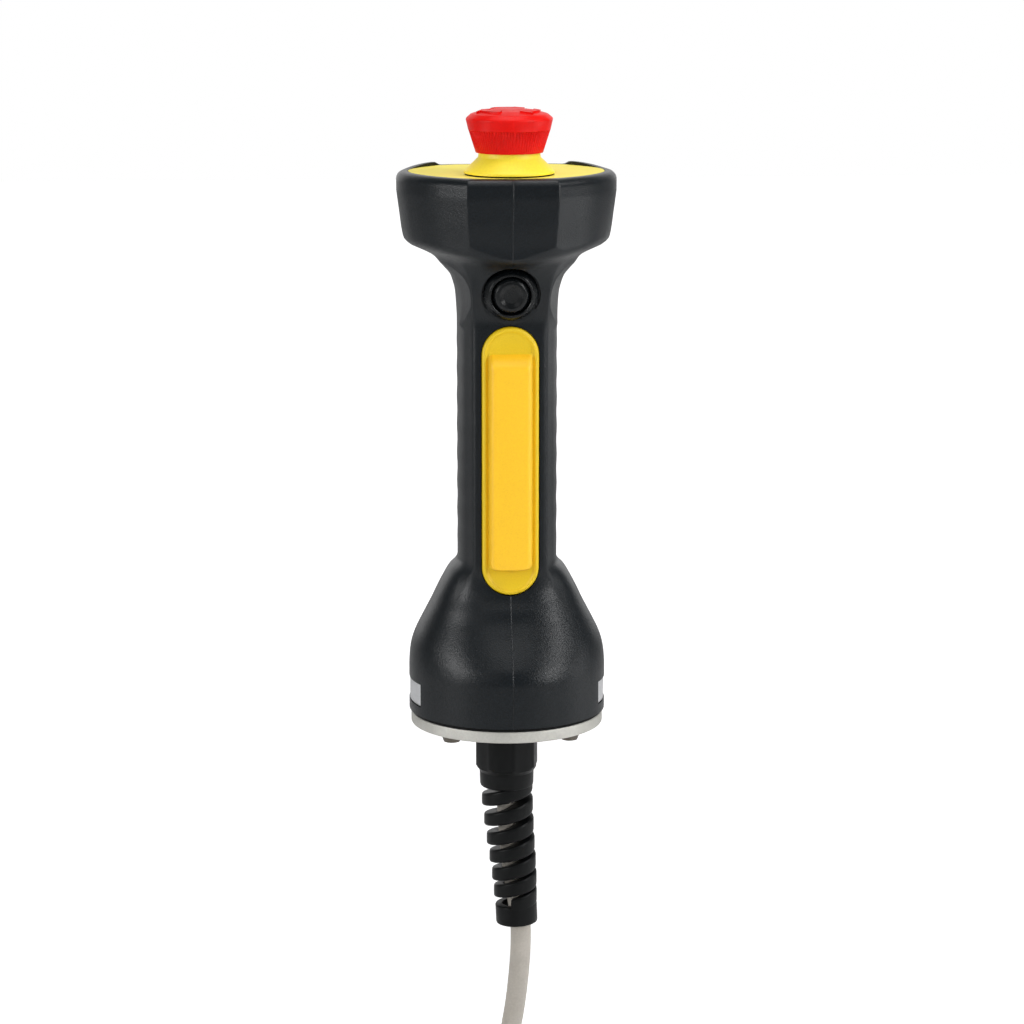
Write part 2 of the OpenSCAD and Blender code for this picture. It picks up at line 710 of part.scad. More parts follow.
module trigger_boot() {
    front = -grip_front - boot_proud;
    back = lip_y + lip_t;
    color(yellow) difference() {
        union() {
            stadium(boot_w, boot_l, front + 0.6, back);
            stadium(boot_w - 1.2, boot_l - 1.2, front, back);
            stadium(boot_w + 1.6, boot_l + 1.6, lip_y, back);
        }
        block(
            -trigger_w / 2 - free, trigger_w / 2 + free, front - 1, back + 1,
            -trigger_l / 2 - free, trigger_l / 2 + free
        );
    }
}
module trigger_bar() {
    face = -grip_front - boot_proud - trigger_proud;
    slope = 3;
    round_d = 3;
    color(amber) intersection() {
        // Side view with the sloping upper end
        translate([-trigger_w / 2, 0, 0]) rotate([90, 0, 90]) linear_extrude(trigger_w) polygon([
            [paddle_y, -trigger_l / 2], [paddle_y, trigger_l / 2], [face + trigger_proud, trigger_l / 2],
            [face + 0.6, trigger_l / 2 - slope], [face, trigger_l / 2 - slope - 1.2],
            [face, 0.6 - trigger_l / 2], [face + 0.6, -trigger_l / 2]
        ]);
        // Front view with the rounded lower corners
        translate([0, paddle_y + 1, 0]) rotate([90, 0, 0]) linear_extrude(40) union() {
            translate([-trigger_w / 2, round_d / 2 - trigger_l / 2]) square([trigger_w, trigger_l]);
            for (s = [-1, 1])
                translate([s * (trigger_w - round_d) / 2, (round_d - trigger_l) / 2]) circle(d = round_d);
            translate([round_d / 2 - trigger_w / 2, -trigger_l / 2]) square([trigger_w - round_d, round_d]);
        }
        // Top view with the rounded long edges
        translate([0, 0, -trigger_l]) linear_extrude(2 * trigger_l) polygon([
            [-trigger_w / 2, paddle_y], [-trigger_w / 2, face + 1], [0.3 - trigger_w / 2, face + 0.3],
            [1 - trigger_w / 2, face], [trigger_w / 2 - 1, face], [trigger_w / 2 - 0.3, face + 0.3],
            [trigger_w / 2, face + 1], [trigger_w / 2, paddle_y]
        ]);
    }
}
module trigger_paddle() {
    half_w = trigger_w / 2 + 1.6;
    half_l = trigger_l / 2 + 2.6;
    rib_d = 2;
    color(dark) {
        block(-half_w, half_w, paddle_y, paddle_y + paddle_t, -half_l, half_l);
        for (s = [-1, 1])
            block(
                s * (half_w - 1) - 1, s * (half_w - 1) + 1, paddle_y, paddle_y + paddle_t + rib_d,
                6 - enable_at, enable_at - 6
            );
    }
}
module switch_plungers() {
    color(amber) for (s = [-1, 1])
        rod_y(plunger_d, paddle_y + paddle_t, enable_y + 1.5, 0, s * enable_at);
}
// One three-position switch with the plunger's bore, screw holes and solder tags
module enable_switch(z) {
    color(dark) difference() {
        union() {
            block(-enable_w / 2, enable_w / 2, enable_y, carrier_y, z - enable_l / 2, z + enable_l / 2);
            for (k = [-1, 0, 1])
                block(
                    enable_w / 2 - 1, enable_w / 2 + 2.5, carrier_y - 5, carrier_y - 4.2,
                    z + k * 7 - 1.4, z + k * 7 + 1.4
                );
        }
        rod_y(plunger_d + 2 * free, enable_y - 1, enable_y + 1.5 + trigger_travel + 0.6, 0, z);
        for (s = [-1, 1])
            rod_y(
                small_screw_d, carrier_y - small_screw_bite - 0.5, carrier_y + 1,
                s * enable_w * 0.31, z + s * enable_l * 0.35
            );
    }
}
module enable_switch_upper() {
    enable_switch(enable_at);
}
module enable_switch_lower() {
    enable_switch(-enable_at);
}
module switch_carrier() {
    color(dark) difference() {
        union() {
            block(
                -carrier_w / 2, carrier_w / 2, carrier_y, carrier_y + carrier_t, carrier_low, carrier_top
            );
            for (i = [0, 1]) {
                block(
                    -lug_w / 2, lug_w / 2, carrier_y, screws_at[i].x,
                    screws_at[i].y - lug_d / 2, screws_at[i].y + lug_d / 2
                );
                rod_x(lug_d, -lug_w / 2, lug_w / 2, screws_at[i].x, screws_at[i].y);
            }
            at_board_screws() rod_y(5, board_y + board_t, carrier_y + 0.5, 0, 0);
        }
        for (i = [0, 1]) rod_x(screw_d + 0.4, -9, 9, screws_at[i].x, screws_at[i].y);
        for (e = [-1, 1], s = [-1, 1])
            rod_y(
                small_screw_d + 0.4, carrier_y - 1, carrier_y + carrier_t + 1,
                s * enable_w * 0.31, e * enable_at + s * enable_l * 0.35
            );
        at_board_screws() rod_y(small_screw_d, board_y, carrier_y + 1, 0, 0);
    }
}
module at_board_screws() {
    for (s = [-1, 1], z = [board_top - 4, board_low + 4])
        translate([s * (board_w / 2 - 3), 0, z]) children();
}
module carrier_screws() {
    color(steel) for (e = [-1, 1], s = [-1, 1])
        translate([s * enable_w * 0.31, 0, e * enable_at + s * enable_l * 0.35]) {
            rod_y(small_screw_d, carrier_y - small_screw_bite, carrier_y + carrier_t + 1, 0, 0);
            rod_y(small_head_d, carrier_y + carrier_t, carrier_y + carrier_t + small_head_h, 0, 0);
        }
}
module circuit_board() {
    color(green) difference() {
        block(-board_w / 2, board_w / 2, board_y, board_y + board_t, board_low, board_top);
        at_board_screws() rod_y(small_screw_d + 0.4, board_y - 1, board_y + board_t + 1, 0, 0);
    }
}
module board_screws() {
    color(steel) at_board_screws() {
        rod_y(small_screw_d, board_y - 1, carrier_y, 0, 0);
        rod_y(small_head_d, board_y - small_head_h, board_y, 0, 0);
    }
}
module terminal_block() {
    color(green) difference() {
        block(-8, 8, board_y - 8.5, board_y, block_z - 5, block_z + 5);
        for (w = wires_at) {
            translate([w.x, w.y, block_z - 6]) cylinder(d = wire_d, h = 6);
            rod_y(1.6, board_y - 10, board_y - 6.5, w.x * 1.8, block_z);
        }
    }
}
module core_wires() {
    color(brass) for (w = wires_at)
        translate([w.x, w.y, cord_start.z]) cylinder(d = wire_d, h = block_z - 1 - cord_start.z);
}

module base_gasket() {
    color(dark) difference() {
        ring(base_d - 1.2, base_d - 1.2 - 2 * gasket_w, gasket_t, base_plate_top);
        at_base_screws() rod(base_screw_d + 0.8, 10, base_plate_top - 4);
    }
}
module base_plate() {
    edge = base_r - 0.7;
    color(steel) difference() {
        translate([0, 0, base_plate_low]) rotate_extrude($fn = 96) polygon([
            [gland_thread_d / 2 + running, 0], [edge - 0.4, 0], [edge, 0.4], [edge, base_plate_t - 0.4],
            [edge - 0.4, base_plate_t], [gland_thread_d / 2 + running, base_plate_t]
        ]);
        at_base_screws() rod(base_screw_d + 0.4, base_plate_t + 2, base_plate_low - 1);
    }
}
module base_screws() {
    screw_head_h = base_screw_d * 0.55;
    color(steel) at_base_screws() difference() {
        union() {
            rod(base_screw_d, foot_z + base_boss_h - 0.5 - base_plate_low, base_plate_low);
            translate([0, 0, base_plate_low - screw_head_h])
                cylinder(d1 = base_screw_d * 1.4, d2 = base_screw_d * 1.8, h = screw_head_h);
        }
        translate([0, 0, base_plate_low - screw_head_h - 1])
            cylinder(d = base_screw_d * 0.6, h = 1 + screw_head_h * 0.55, $fn = 6);
    }
}
module side_plates() {
    color(steel) for (s = [0, 180]) rotate(s - side_plate_angle)
        translate([0, 0, foot_z + side_plate_z])
            rotate_extrude(angle = 2 * side_plate_angle, $fn = 96)
                translate([base_r - 0.6, 0]) square([0.4, side_plate_h]);
}

module gland_sleeve() {
    flange_z = base_plate_top + washer_t;
    mid_z = base_plate_low - 2.5;
    color(dark) difference() {
        union() {
            translate([0, 0, flange_z]) cylinder(d = gland_thread_d * 1.44, h = sleeve_hex_h, $fn = 6);
            rod(gland_thread_d, flange_z - sleeve_low, sleeve_low);
        }
        rod(cord_d + 1, flange_z + sleeve_hex_h - sleeve_low + 2, sleeve_low - 1);
        rod(gland_thread_d - 3.4, mid_z - sleeve_low + 1, sleeve_low - 1);
    }
}
module gland_washer() {
    color(rubber) ring(gland_thread_d * 1.3, gland_thread_d + 2 * free, washer_t, base_plate_top);
}
module gland_seal() {
    color(rubber) ring(gland_thread_d - 3.6, cord_d, sleeve_l - 3.5, sleeve_low + 0.5);
}
// Octagonal nut with its round skirt, the helix and the end ring in one moulding
module gland_spiral() {
    inside = gland_bore / 2;
    wide = gland_skirt_d / 2 - 0.4;
    slim = ring_d / 2;
    band = 4.3;
    steps = 18;
    count = spiral_turns * steps;
    start = 70;
    // Corners of the band's cross-section: share of the way outwards, height
    profile = [[0, -0.5], [0.8, -0.5], [1, -0.3], [1, 0.3], [0.8, 0.5], [0, 0.5]];
    path = [
        for (i = [0 : count], c = profile)
            let(
                u = i / count,
                a = start - 360 * i / steps,
                z = spiral_top + 1.6 - (spiral_turns * spiral_pitch + 3.2) * u,
                r = inside + c.x * (wide + (slim - wide) * u - inside)
            )
            [lean_x(z) + r * cos(a), r * sin(a), z + c.y * band]
    ];
    color(dark) {
        difference() {
            union() {
                translate([0, 0, nut_low]) intersection() {
                    rotate(gland_turn) cylinder(d = gland_d, h = gland_nut_l, $fn = 8);
                    cylinder(
                        d1 = gland_skirt_d + 0.4, d2 = gland_skirt_d + 2.4 * gland_nut_l, h = gland_nut_l
                    );
                }
                rod(gland_skirt_d, gland_skirt_l + 1, spiral_top);
            }
            rod(gland_thread_d + 2 * running, base_plate_low - sleeve_low + 2, sleeve_low - 1);
            rod(gland_bore, base_plate_low - spiral_top + 2, spiral_top - 1);
        }
        polyhedron(path, tube_faces(count + 1, len(profile)), convexity = 12);
        translate([lean_x(spiral_low), 0, spiral_low]) rotate([0, -lean_angle, 0])
            ring(ring_d, gland_bore, ring_l, -ring_l + 0.4);
    }
}
module cord_lead() {
    color(grey) tube(lead_route, cord_d, 10, [0, 1, 0]);
}
module cord_coil() {
    half = coil_w / 2;
    corner = 3;
    color(grey) translate([coil_x, coil_y, coil_z]) rotate_extrude($fn = 96) polygon([
        [coil_d / 2 - half + corner, 0], [coil_d / 2 + half - corner, 0], [coil_d / 2 + half, corner],
        [coil_d / 2 + half, coil_h - corner], [coil_d / 2 + half - corner, coil_h],
        [coil_d / 2 - half + corner, coil_h], [coil_d / 2 - half, coil_h - corner],
        [coil_d / 2 - half, corner]
    ]);
}
module cord_tie() {
    inside = coil_w + 0.8;
    color(dark) translate([coil_x, coil_y, coil_z + coil_h / 2]) rotate(20) translate([coil_d / 2, 0, 0])
        difference() {
            cube([inside + 2 * tie_t, tie_w, coil_h + 2 * tie_t], center = true);
            cube([inside, tie_w + 2, coil_h], center = true);
        }
}
module cord_tail() {
    color(grey) tube([for (p = tail_route) [coil_x + p.x, coil_y + p.y, p.z]], cord_d, 10, [0, 0, 1]);
}

module plug_clamp() {
    color(dark) at_plug() difference() {
        cylinder(d = clamp_d, h = clamp_l, $fn = 12);
        rod(cord_d + 0.4, clamp_l + 2, -1);
    }
}
module plug_body() {
    color(dark) at_plug() difference() {
        rod(plug_d, plug_l, clamp_l);
        rod(cord_d + 0.4, plug_l, clamp_l - 1);
        rod(insert_d, 9, plug_seat);
    }
}
module at_contacts() {
    for (a = [45 : 90 : 315]) rotate(a) translate([insert_d / 4, 0, 0]) children();
}
module plug_insert() {
    color(dark) at_plug() difference() {
        rod(insert_d, plug_end - 0.5 - plug_seat, plug_seat);
        at_contacts() rod(contact_d, 12, plug_end - 10);
    }
}
module plug_contacts() {
    color(brass) at_plug() at_contacts() ring(contact_d, contact_d * 0.6, 9, plug_end - 10);
}
module plug_nut() {
    start = clamp_l + plug_l + free;
    grooves = 16;
    color(steel) at_plug() difference() {
        union() {
            rod(coupling_ring_d, coupling_ring_l - free, start);
            rod(coupling_d, coupling_l + 1, start + coupling_ring_l - free - 1);
        }
        rod(insert_d + 2 * running, 40, start - 5);
        for (i = [0 : grooves - 1]) rotate(360 * i / grooves)
            translate([coupling_ring_d / 2 + 0.3, 0, start - 1]) rotate(45) translate([-0.6, -0.6, 0])
                cube([1.2, 1.2, coupling_ring_l - 0.6]);
    }
}

housing_left();
housing_right();
housing_screws();
top_plate();
estop_collar();
estop_seal();
estop_barrel();
estop_nut();
estop_contacts();
estop_stem();
estop_spring();
estop_knob();
push_button();
button_bezel();
button_nut();
button_switch();
trigger_boot();
trigger_bar();
trigger_paddle();
switch_plungers();
enable_switch_upper();
enable_switch_lower();
switch_carrier();
carrier_screws();
circuit_board();
board_screws();
terminal_block();
core_wires();
base_gasket();
base_plate();
base_screws();
side_plates();
gland_sleeve();
gland_washer();
gland_seal();
gland_spiral();
cord_lead();
cord_coil();
cord_tie();
cord_tail();
plug_clamp();
plug_body();
plug_insert();
plug_contacts();
plug_nut();
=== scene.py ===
"""Looks of the hand-held enabling switch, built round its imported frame.

Lengths are in millimetres and angles in degrees, unless noted.
"""

import json
from math import atan2, cos, degrees, pi, radians, sin, tan
from typing import NamedTuple

import bmesh
import bpy
from mathutils import Matrix, Vector


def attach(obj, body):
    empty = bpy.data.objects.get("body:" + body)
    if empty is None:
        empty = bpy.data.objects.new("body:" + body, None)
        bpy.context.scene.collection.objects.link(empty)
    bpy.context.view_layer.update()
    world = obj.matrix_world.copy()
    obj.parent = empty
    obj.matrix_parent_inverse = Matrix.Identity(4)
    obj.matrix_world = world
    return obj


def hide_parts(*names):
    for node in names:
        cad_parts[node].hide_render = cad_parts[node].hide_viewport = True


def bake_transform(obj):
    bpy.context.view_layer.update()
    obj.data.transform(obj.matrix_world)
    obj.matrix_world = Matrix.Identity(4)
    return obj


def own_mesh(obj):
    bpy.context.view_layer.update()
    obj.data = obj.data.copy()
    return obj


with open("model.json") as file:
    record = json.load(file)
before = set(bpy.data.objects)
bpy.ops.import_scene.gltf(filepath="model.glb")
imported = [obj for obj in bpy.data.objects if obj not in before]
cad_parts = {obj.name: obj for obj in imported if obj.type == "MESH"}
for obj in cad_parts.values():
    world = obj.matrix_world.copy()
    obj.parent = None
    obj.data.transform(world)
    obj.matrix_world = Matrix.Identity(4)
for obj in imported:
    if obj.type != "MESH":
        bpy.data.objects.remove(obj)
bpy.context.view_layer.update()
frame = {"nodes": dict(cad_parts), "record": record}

MM = 0.001
HERE = Matrix.Identity(4)

# Levels along the grip's axis
TOP = 98.0
HEAD_FULL = 91.5
HEAD_MIDDLE = 84.5
HEAD_LOW = 75.5
GRIP_TOP = 48.0
GRIP_LOW = -36.0
SHOULDER = -76.0
FOOT = -90.8
DISC_TOP = -92.0
DISC_LOW = -96.0
FLOOR = -281.3


# Numbers and outlines

def polar(r, a, z):
    """The point at radius r, angle a in radians and height z."""
    return (r * cos(a), r * sin(a), z)


def smoothstep(u):
    u = min(1.0, max(0.0, u))
    return u * u * (3 - 2 * u)


def window(z, low, rise, high, fall):
    """1 between low and high, with soft ends inside them, and 0 beyond."""
    return smoothstep((z - low) / rise) * smoothstep((high - z) / fall)


def spline(knots):
    """A smooth function through (x, value) knots that never overshoots them."""
    xs = [k[0] for k in knots]
    ys = [k[1] for k in knots]
    steps = [(ys[i + 1] - ys[i]) / (xs[i + 1] - xs[i]) for i in range(len(xs) - 1)]
    slopes = [steps[0]]
    for before, after in zip(steps, steps[1:]):
        slopes.append(0.0 if before * after <= 0 else 2 * before * after / (before + after))
    slopes.append(steps[-1])

    def value(x):
        if x <= xs[0]:
            return ys[0]
        if x >= xs[-1]:
            return ys[-1]
        i = max(k for k in range(len(xs) - 1) if xs[k] <= x)
        h = xs[i + 1] - xs[i]
        t = (x - xs[i]) / h
        return (
            ys[i] * (1 + 2 * t) * (1 - t) ** 2 + h * slopes[i] * t * (1 - t) ** 2
            + ys[i + 1] * t * t * (3 - 2 * t) + h * slopes[i + 1] * t * t * (t - 1)
        )
    return value


# Largest share of a side for one rounding, and the bend in radians that counts as straight
SIDE_SHARE = 0.49
STRAIGHT = 0.02


def rounded(points, radius=0.0, steps=6):
    """A closed outline with rounded corners. A point is (u, v), or (u, v, its own radius)."""
    out = []
    count = len(points)
    for i, p in enumerate(points):
        here = Vector(p[:2])
        r = p[2] if len(p) > 2 else radius
        before = Vector(points[i - 1][:2]) - here
        after = Vector(points[(i + 1) % count][:2]) - here
        angle = before.angle(after)
        reach = min(r / tan(angle / 2), before.length * SIDE_SHARE, after.length * SIDE_SHARE)
        if r <= 0 or angle > pi - STRAIGHT:
            out.append(tuple(here))
            continue
        a = here + before.normalized() * reach
        b = here + after.normalized() * reach
        for k in range(steps + 1):
            t = k / steps
            out.append(tuple(a * (1 - t) ** 2 + here * 2 * t * (1 - t) + b * t * t))
    return out


# Materials: cells per metre of mottle and gloss patches, and the range that most of a noise lies in
MOTTLE_SCALE = 160.0
PATCH_SCALE = 420.0
NOISE_RANGE = (0.3, 0.7)
BEVEL_SAMPLES = 4


def srgb(r, g, b):
    """Display values of 0 to 255 as the linear colour that shaders take."""
    def linear(v):
        v /= 255
        return v / 12.92 if v <= 0.04045 else ((v + 0.055) / 1.055) ** 2.4
    return (linear(r), linear(g), linear(b), 1.0)


def new_material(name):
    material = bpy.data.materials.new(name)
    material.use_nodes = True
    tree = material.node_tree
    return material, tree, tree.nodes["Principled BSDF"]


def fill(node, values):
    """Constants for a node's inputs."""
    for name, value in values.items():
        node.inputs[name].default_value = value


def noise(tree, scale, detail=3.0):
    """Noise in the piece's own space, with cells 1 / scale metres across."""
    where = tree.nodes.new("ShaderNodeTexCoord")
    texture = tree.nodes.new("ShaderNodeTexNoise")
    fill(texture, {"Scale": scale, "Detail": detail})
    tree.links.new(where.outputs["Object"], texture.inputs["Vector"])
    return texture.outputs["Fac"]


def ramp(tree, source, start, end, low, high):
    """low up to start, high from end on, and even in between."""
    node = tree.nodes.new("ShaderNodeMapRange")
    fill(node, {"From Min": start, "From Max": end, "To Min": low, "To Max": high})
    tree.links.new(source, node.inputs["Value"])
    return node.outputs["Result"]


def spread(tree, source, middle, reach):
    """A noise mapped to middle, give or take reach."""
    return ramp(tree, source, *NOISE_RANGE, middle - reach, middle + reach)


def arithmetic(tree, operation, first, second):
    node = tree.nodes.new("ShaderNodeMath")
    node.operation = operation
    tree.links.new(first, node.inputs[0])
    tree.links.new(second, node.inputs[1])
    return node.outputs["Value"]


def surface(name, colour, roughness, grain, bump, depth=0.00005, edge=0.25, metallic=0.0, specular=0.5,
            mottle=0.05, rough_spread=0.05, speckle=0.04):
    """A finish with mottled colour, varying roughness, grain in relief and softened edges."""
    material, tree, shader = new_material(name)
    fill(shader, {"Metallic": metallic, "Specular IOR Level": specular})
    tint = tree.nodes.new("ShaderNodeHueSaturation")
    fill(tint, {"Color": colour})
    patches = spread(tree, noise(tree, MOTTLE_SCALE), 1, mottle)
    specks = spread(tree, noise(tree, grain, 1.0), 1, speckle)
    tree.links.new(arithmetic(tree, "MULTIPLY", patches, specks), tint.inputs["Value"])
    tree.links.new(tint.outputs["Color"], shader.inputs["Base Color"])
    gloss = spread(tree, noise(tree, PATCH_SCALE), roughness, rough_spread)
    tree.links.new(gloss, shader.inputs["Roughness"])
    relief = tree.nodes.new("ShaderNodeBump")
    fill(relief, {"Strength": bump, "Distance": depth})
    tree.links.new(noise(tree, grain, 2.0), relief.inputs["Height"])
    if edge > 0:
        soft = tree.nodes.new("ShaderNodeBevel")
        soft.samples = BEVEL_SAMPLES
        fill(soft, {"Radius": edge * MM})
        tree.links.new(soft.outputs["Normal"], relief.inputs["Normal"])
    tree.links.new(relief.outputs["Normal"], shader.inputs["Normal"])
    return material


# Finishes by slot: name, colour, roughness, cells of grain per metre and strength of their relief
MATERIALS = {
    "housing": surface("housing_grain", srgb(6, 13, 18), 0.32, 2400, 1.0, depth=0.0001, edge=0.12,
                       mottle=0.02, rough_spread=0.01, speckle=0.5, specular=0.35),
    "yellow_plate": surface("plate_yellow", srgb(255, 238, 96), 0.55, 1500, 0.2, mottle=0.02),
    "yellow_collar": surface("collar_yellow", srgb(255, 232, 58), 0.45, 1500, 0.05, mottle=0.02),
    "yellow_rubber": surface("boot_yellow", srgb(232, 196, 16), 0.5, 2200, 0.06, edge=0.0, mottle=0.01),
    "amber_bar": surface("bar_amber", srgb(255, 200, 34), 0.45, 2200, 0.05, edge=0.0, mottle=0.01),
    "red_knob": surface("knob_red", srgb(226, 8, 0), 0.42, 1500, 0.05, specular=0.2),
    "black_plastic": surface("plastic_black", srgb(9, 11, 12), 0.38, 1500, 0.12, specular=0.16),
    "button": surface("button_black", srgb(9, 12, 14), 0.27, 2600, 0.05, specular=0.3),
    "black_rubber": surface("rubber_black", srgb(11, 12, 12), 0.7, 1300, 0.15, specular=0.15),
    "steel": surface("steel_satin", srgb(104, 99, 92), 0.4, 900, 0.1, metallic=1.0),
    "base_metal": surface("metal_blasted", srgb(199, 198, 192), 0.55, 1700, 0.3, depth=0.00008,
                          metallic=0.75),
    "label_metal": surface("label_silver", srgb(200, 201, 203), 0.5, 1500, 0.1, metallic=0.4),
    "board": surface("board_green", srgb(30, 92, 58), 0.45, 1200, 0.1),
    "copper": surface("contact_gold", srgb(204, 160, 86), 0.3, 900, 0.05, metallic=1.0),
    "cord_sheath": surface("sheath_grey", srgb(186, 180, 171), 0.55, 1300, 0.1, edge=0.0),
    "nickel": surface("nickel_plate", srgb(190, 188, 182), 0.28, 900, 0.06, metallic=1.0),
}


# Pieces: an edge that bends by more than this looks sharp
SHARP = 32.0
CRISP = 24.0
SMOOTH = 40.0
SMOOTHER = 50.0
ALL_SMOOTH = 180.0


def new_object(name, data):
    obj = bpy.data.objects.new(name, data)
    bpy.context.scene.collection.objects.link(obj)
    return obj


def shade(obj, sharp=SHARP):
    obj.data.polygons.foreach_set("use_smooth", [True] * len(obj.data.polygons))
    obj.data.set_sharp_from_angle(angle=radians(sharp))


def solid_mesh(name, points, faces, at=HERE):
    """A mesh from points in millimetres, with its faces turned outwards."""
    mesh = bpy.data.meshes.new(name)
    mesh.from_pydata([tuple(at @ (Vector(p) * MM)) for p in points], [], faces)
    work = bmesh.new()
    work.from_mesh(mesh)
    bmesh.ops.recalc_face_normals(work, faces=work.faces)
    work.to_mesh(mesh)
    work.free()
    return mesh


def finish_piece(obj, body, slot, stands_for=(), sharp=SHARP, finish=None):
    """Shading, the slot's finish unless another is named, and a body to ride on."""
    shade(obj, sharp)
    obj.data.materials.append(MATERIALS[finish or slot])
    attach(obj, body)
    if stands_for:
        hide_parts(*stands_for)
    return obj


def piece(name, points, faces, body, slot, stands_for=(), at=HERE, **looks):
    """A finished piece from points in millimetres, placed by a matrix."""
    obj = new_object(name, solid_mesh(name, points, faces, at))
    return finish_piece(obj, body, slot, stands_for, **looks)


def skin(rings, closed=True):
    """Quads between rings of equal length. closed joins the last ring to the first."""
    n = len(rings[0])
    faces = []
    for i in range(len(rings) if closed else len(rings) - 1):
        j = (i + 1) % len(rings)
        for k in range(n):
            m = (k + 1) % n
            faces.append((i * n + k, i * n + m, j * n + m, j * n + k))
    return [p for ring in rings for p in ring], faces


def capped(rings):
    """A solid from a stack of rings, with a flat cap on both ends."""
    points, faces = skin(rings, closed=False)
    n = len(rings[0])
    last = len(points) - n
    return points, faces + [tuple(reversed(range(n))), tuple(range(last, last + n))]


def lathe(profile, steps=96):
    """A closed (r, z) profile turned about Z."""
    rings = []
    for k in range(steps):
        a = 2 * pi * k / steps
        rings.append([polar(r, a, z) for r, z in profile])
    return skin(rings)


AXIS_R = 0.001
ROD_STEPS = 64


def rod(radius, low, high):
    """A plain cylinder about Z."""
    return lathe([(AXIS_R, low), (radius, low), (radius, high), (AXIS_R, high)], ROD_STEPS)


# Housing

class Section(NamedTuple):
    """Right half of a section through the housing. Roundness goes from 0 to 1."""
    front: float  # from the axis
    facet: float  # half width of the flat front
    width: float  # from the axis to the side
    side_front: float  # reach of the straight side forwards
    side_back: float  # and backwards
    back_facet: float  # half width of the flat back
    back: float  # from the axis
    round_facet: float  # roundness at the flat front's edge
    round_front: float  # at the side's front end
    round_back: float  # at the side's back end
    round_rear: float  # at the flat back's edge
    dip: float = 0.0  # how far the middle of the front lies back


OCTAGON = tan(radians(22.5))
WALL = 2.4
GRIP = Section(
    front=19.5, facet=12.4, width=17.2, side_front=9.0, side_back=8.0, back_facet=9.0, back=19.0,
    round_facet=0.22, round_front=0.85, round_back=0.9, round_rear=0.9,
)
BASE_R = 34.4
BASE_FLAT = OCTAGON * BASE_R
BASE_ROUND = 0.96
BASE = Section(BASE_R, BASE_FLAT, BASE_R, BASE_FLAT, BASE_FLAT, BASE_FLAT, BASE_R, *[BASE_ROUND] * 4)
HEAD = Section(
    front=34.5, facet=15.4, width=37.8, side_front=8.0, side_back=10.0, back_facet=22.0, back=28.5,
    round_facet=0.04, round_front=0.85, round_back=0.85, round_rear=0.35,
)
HEAD_DRAFT = 2.3
HEAD_MIDDLE_SHARE = 0.6

# Flare from the grip (0) to the shoulder (1): share of the way, of the width, of the depth
FLARE_ROWS = [
    (0, 0, 0), (0.05, 0.05, 0), (0.1, 0.17, 0), (0.2, 0.31, 0.02), (0.3, 0.43, 0.1), (0.4, 0.54, 0.25),
    (0.5, 0.66, 0.37), (0.6, 0.78, 0.52), (0.7, 0.89, 0.675), (0.8, 0.96, 0.825), (0.9, 0.99, 0.95),
    (1, 1, 1),
]
FLARE_SOFT = 1.9
VALLEY = 1.2
VALLEY_RATE = 1.25
VALLEY_START = 0.2
# Neck from the grip (0) to the head (1): share of the way, and of the width or the depth
NECK_WIDTH = spline([
    (0, 0), (0.18, 0.015), (0.33, 0.035), (0.47, 0.09), (0.55, 0.14), (0.63, 0.24), (0.71, 0.35),
    (0.765, 0.42), (0.81, 0.52), (0.86, 0.68), (0.935, 0.92), (1, 1),
])
NECK_DEPTH = spline([
    (0, 0), (0.07, 0.03), (0.22, 0.15), (0.36, 0.26), (0.47, 0.34), (0.55, 0.41), (0.63, 0.51), (0.71, 0.63),
    (0.81, 0.79), (0.88, 0.9), (0.93, 0.97), (0.97, 1), (1, 1),
])
NECK_STEPS = 27
# Spans of height: start, soft rise, end, soft fall
NECK_SOFT = 0.7
NECK_SOFT_SPAN = (56.0, 8.0, 77.0, 2.5)
RIPPLE = 0.09
RIPPLE_PITCH = 10.0
RIPPLE_SPAN = (-34.0, 8.0, 46.0, 8.0)
HEAD_SAG = 3.3
SAG_POWER = 1.2
SAG_SPAN = (66.0, 8.0, 90.0, 12.0)
# Crease of the thumb scoops in the neck's sides: height, distance from the middle and from the front
SCOOP = [
    (45.0, 17.2, 10.5), (47.3, 16.0, 7.3), (50.1, 14.7, 3.5), (54.4, 13.5, 1.1), (58.9, 13.9, 1.3),
    (63.1, 15.6, 3.6), (65.5, 18.0, 8.0), (67.7, 21.2, 14.0), (69.0, 22.3, 16.0),
]
SCOOP_X = spline([(z, x) for z, x, _ in SCOOP])
SCOOP_BACK = spline([(z, d) for z, _, d in SCOOP])
SCOOP_SPAN = (44.0, 3.0, 70.0, 2.5)
SCOOP_ROUND = 0.15
PLAIN_ROUND = 0.9
# Bulge of the head's side facets
FACET_BULGE = 3.0
FACET_ROUND = 0.95
BULGE_START = 70.0
BULGE_RISE = 6.0
# Seam between the halves: a groove in front in this span of heights, a ridge above and below it
SEAM_W = 0.2
SEAM_DEPTH = 0.3
SEAM_RIDGE = 0.1
SEAM_SPAN = (-46.0, 72.5)
SEAM_SHARE = 0.02
# Points along an outline's corners and straights, and steps between levels
CORNER_STEPS = 9
STRAIGHT_STEPS = 4
LEVEL_STEP = 1.0
GRIP_STEP = 2.0
GRIP_EVEN = (GRIP_LOW + 4.0, GRIP_TOP - 3.0)


def inset(section, d):
    """The section drawn in by d."""
    s = section
    o = OCTAGON * d
    return s._replace(
        front=s.front - d, facet=s.facet - o, width=s.width - d, side_front=s.side_front - o,
        side_back=s.side_back - o, back_facet=s.back_facet - o, back=s.back - d,
    )


def mixed(first, second, width, depth):
    """A section between two others, with one share for its sides and one for its front and back."""
    shares = (depth, depth, width, width, width, depth, depth, width, width, width, width, depth)
    return Section(*(p + (q - p) * s for p, q, s in zip(first, second, shares)))


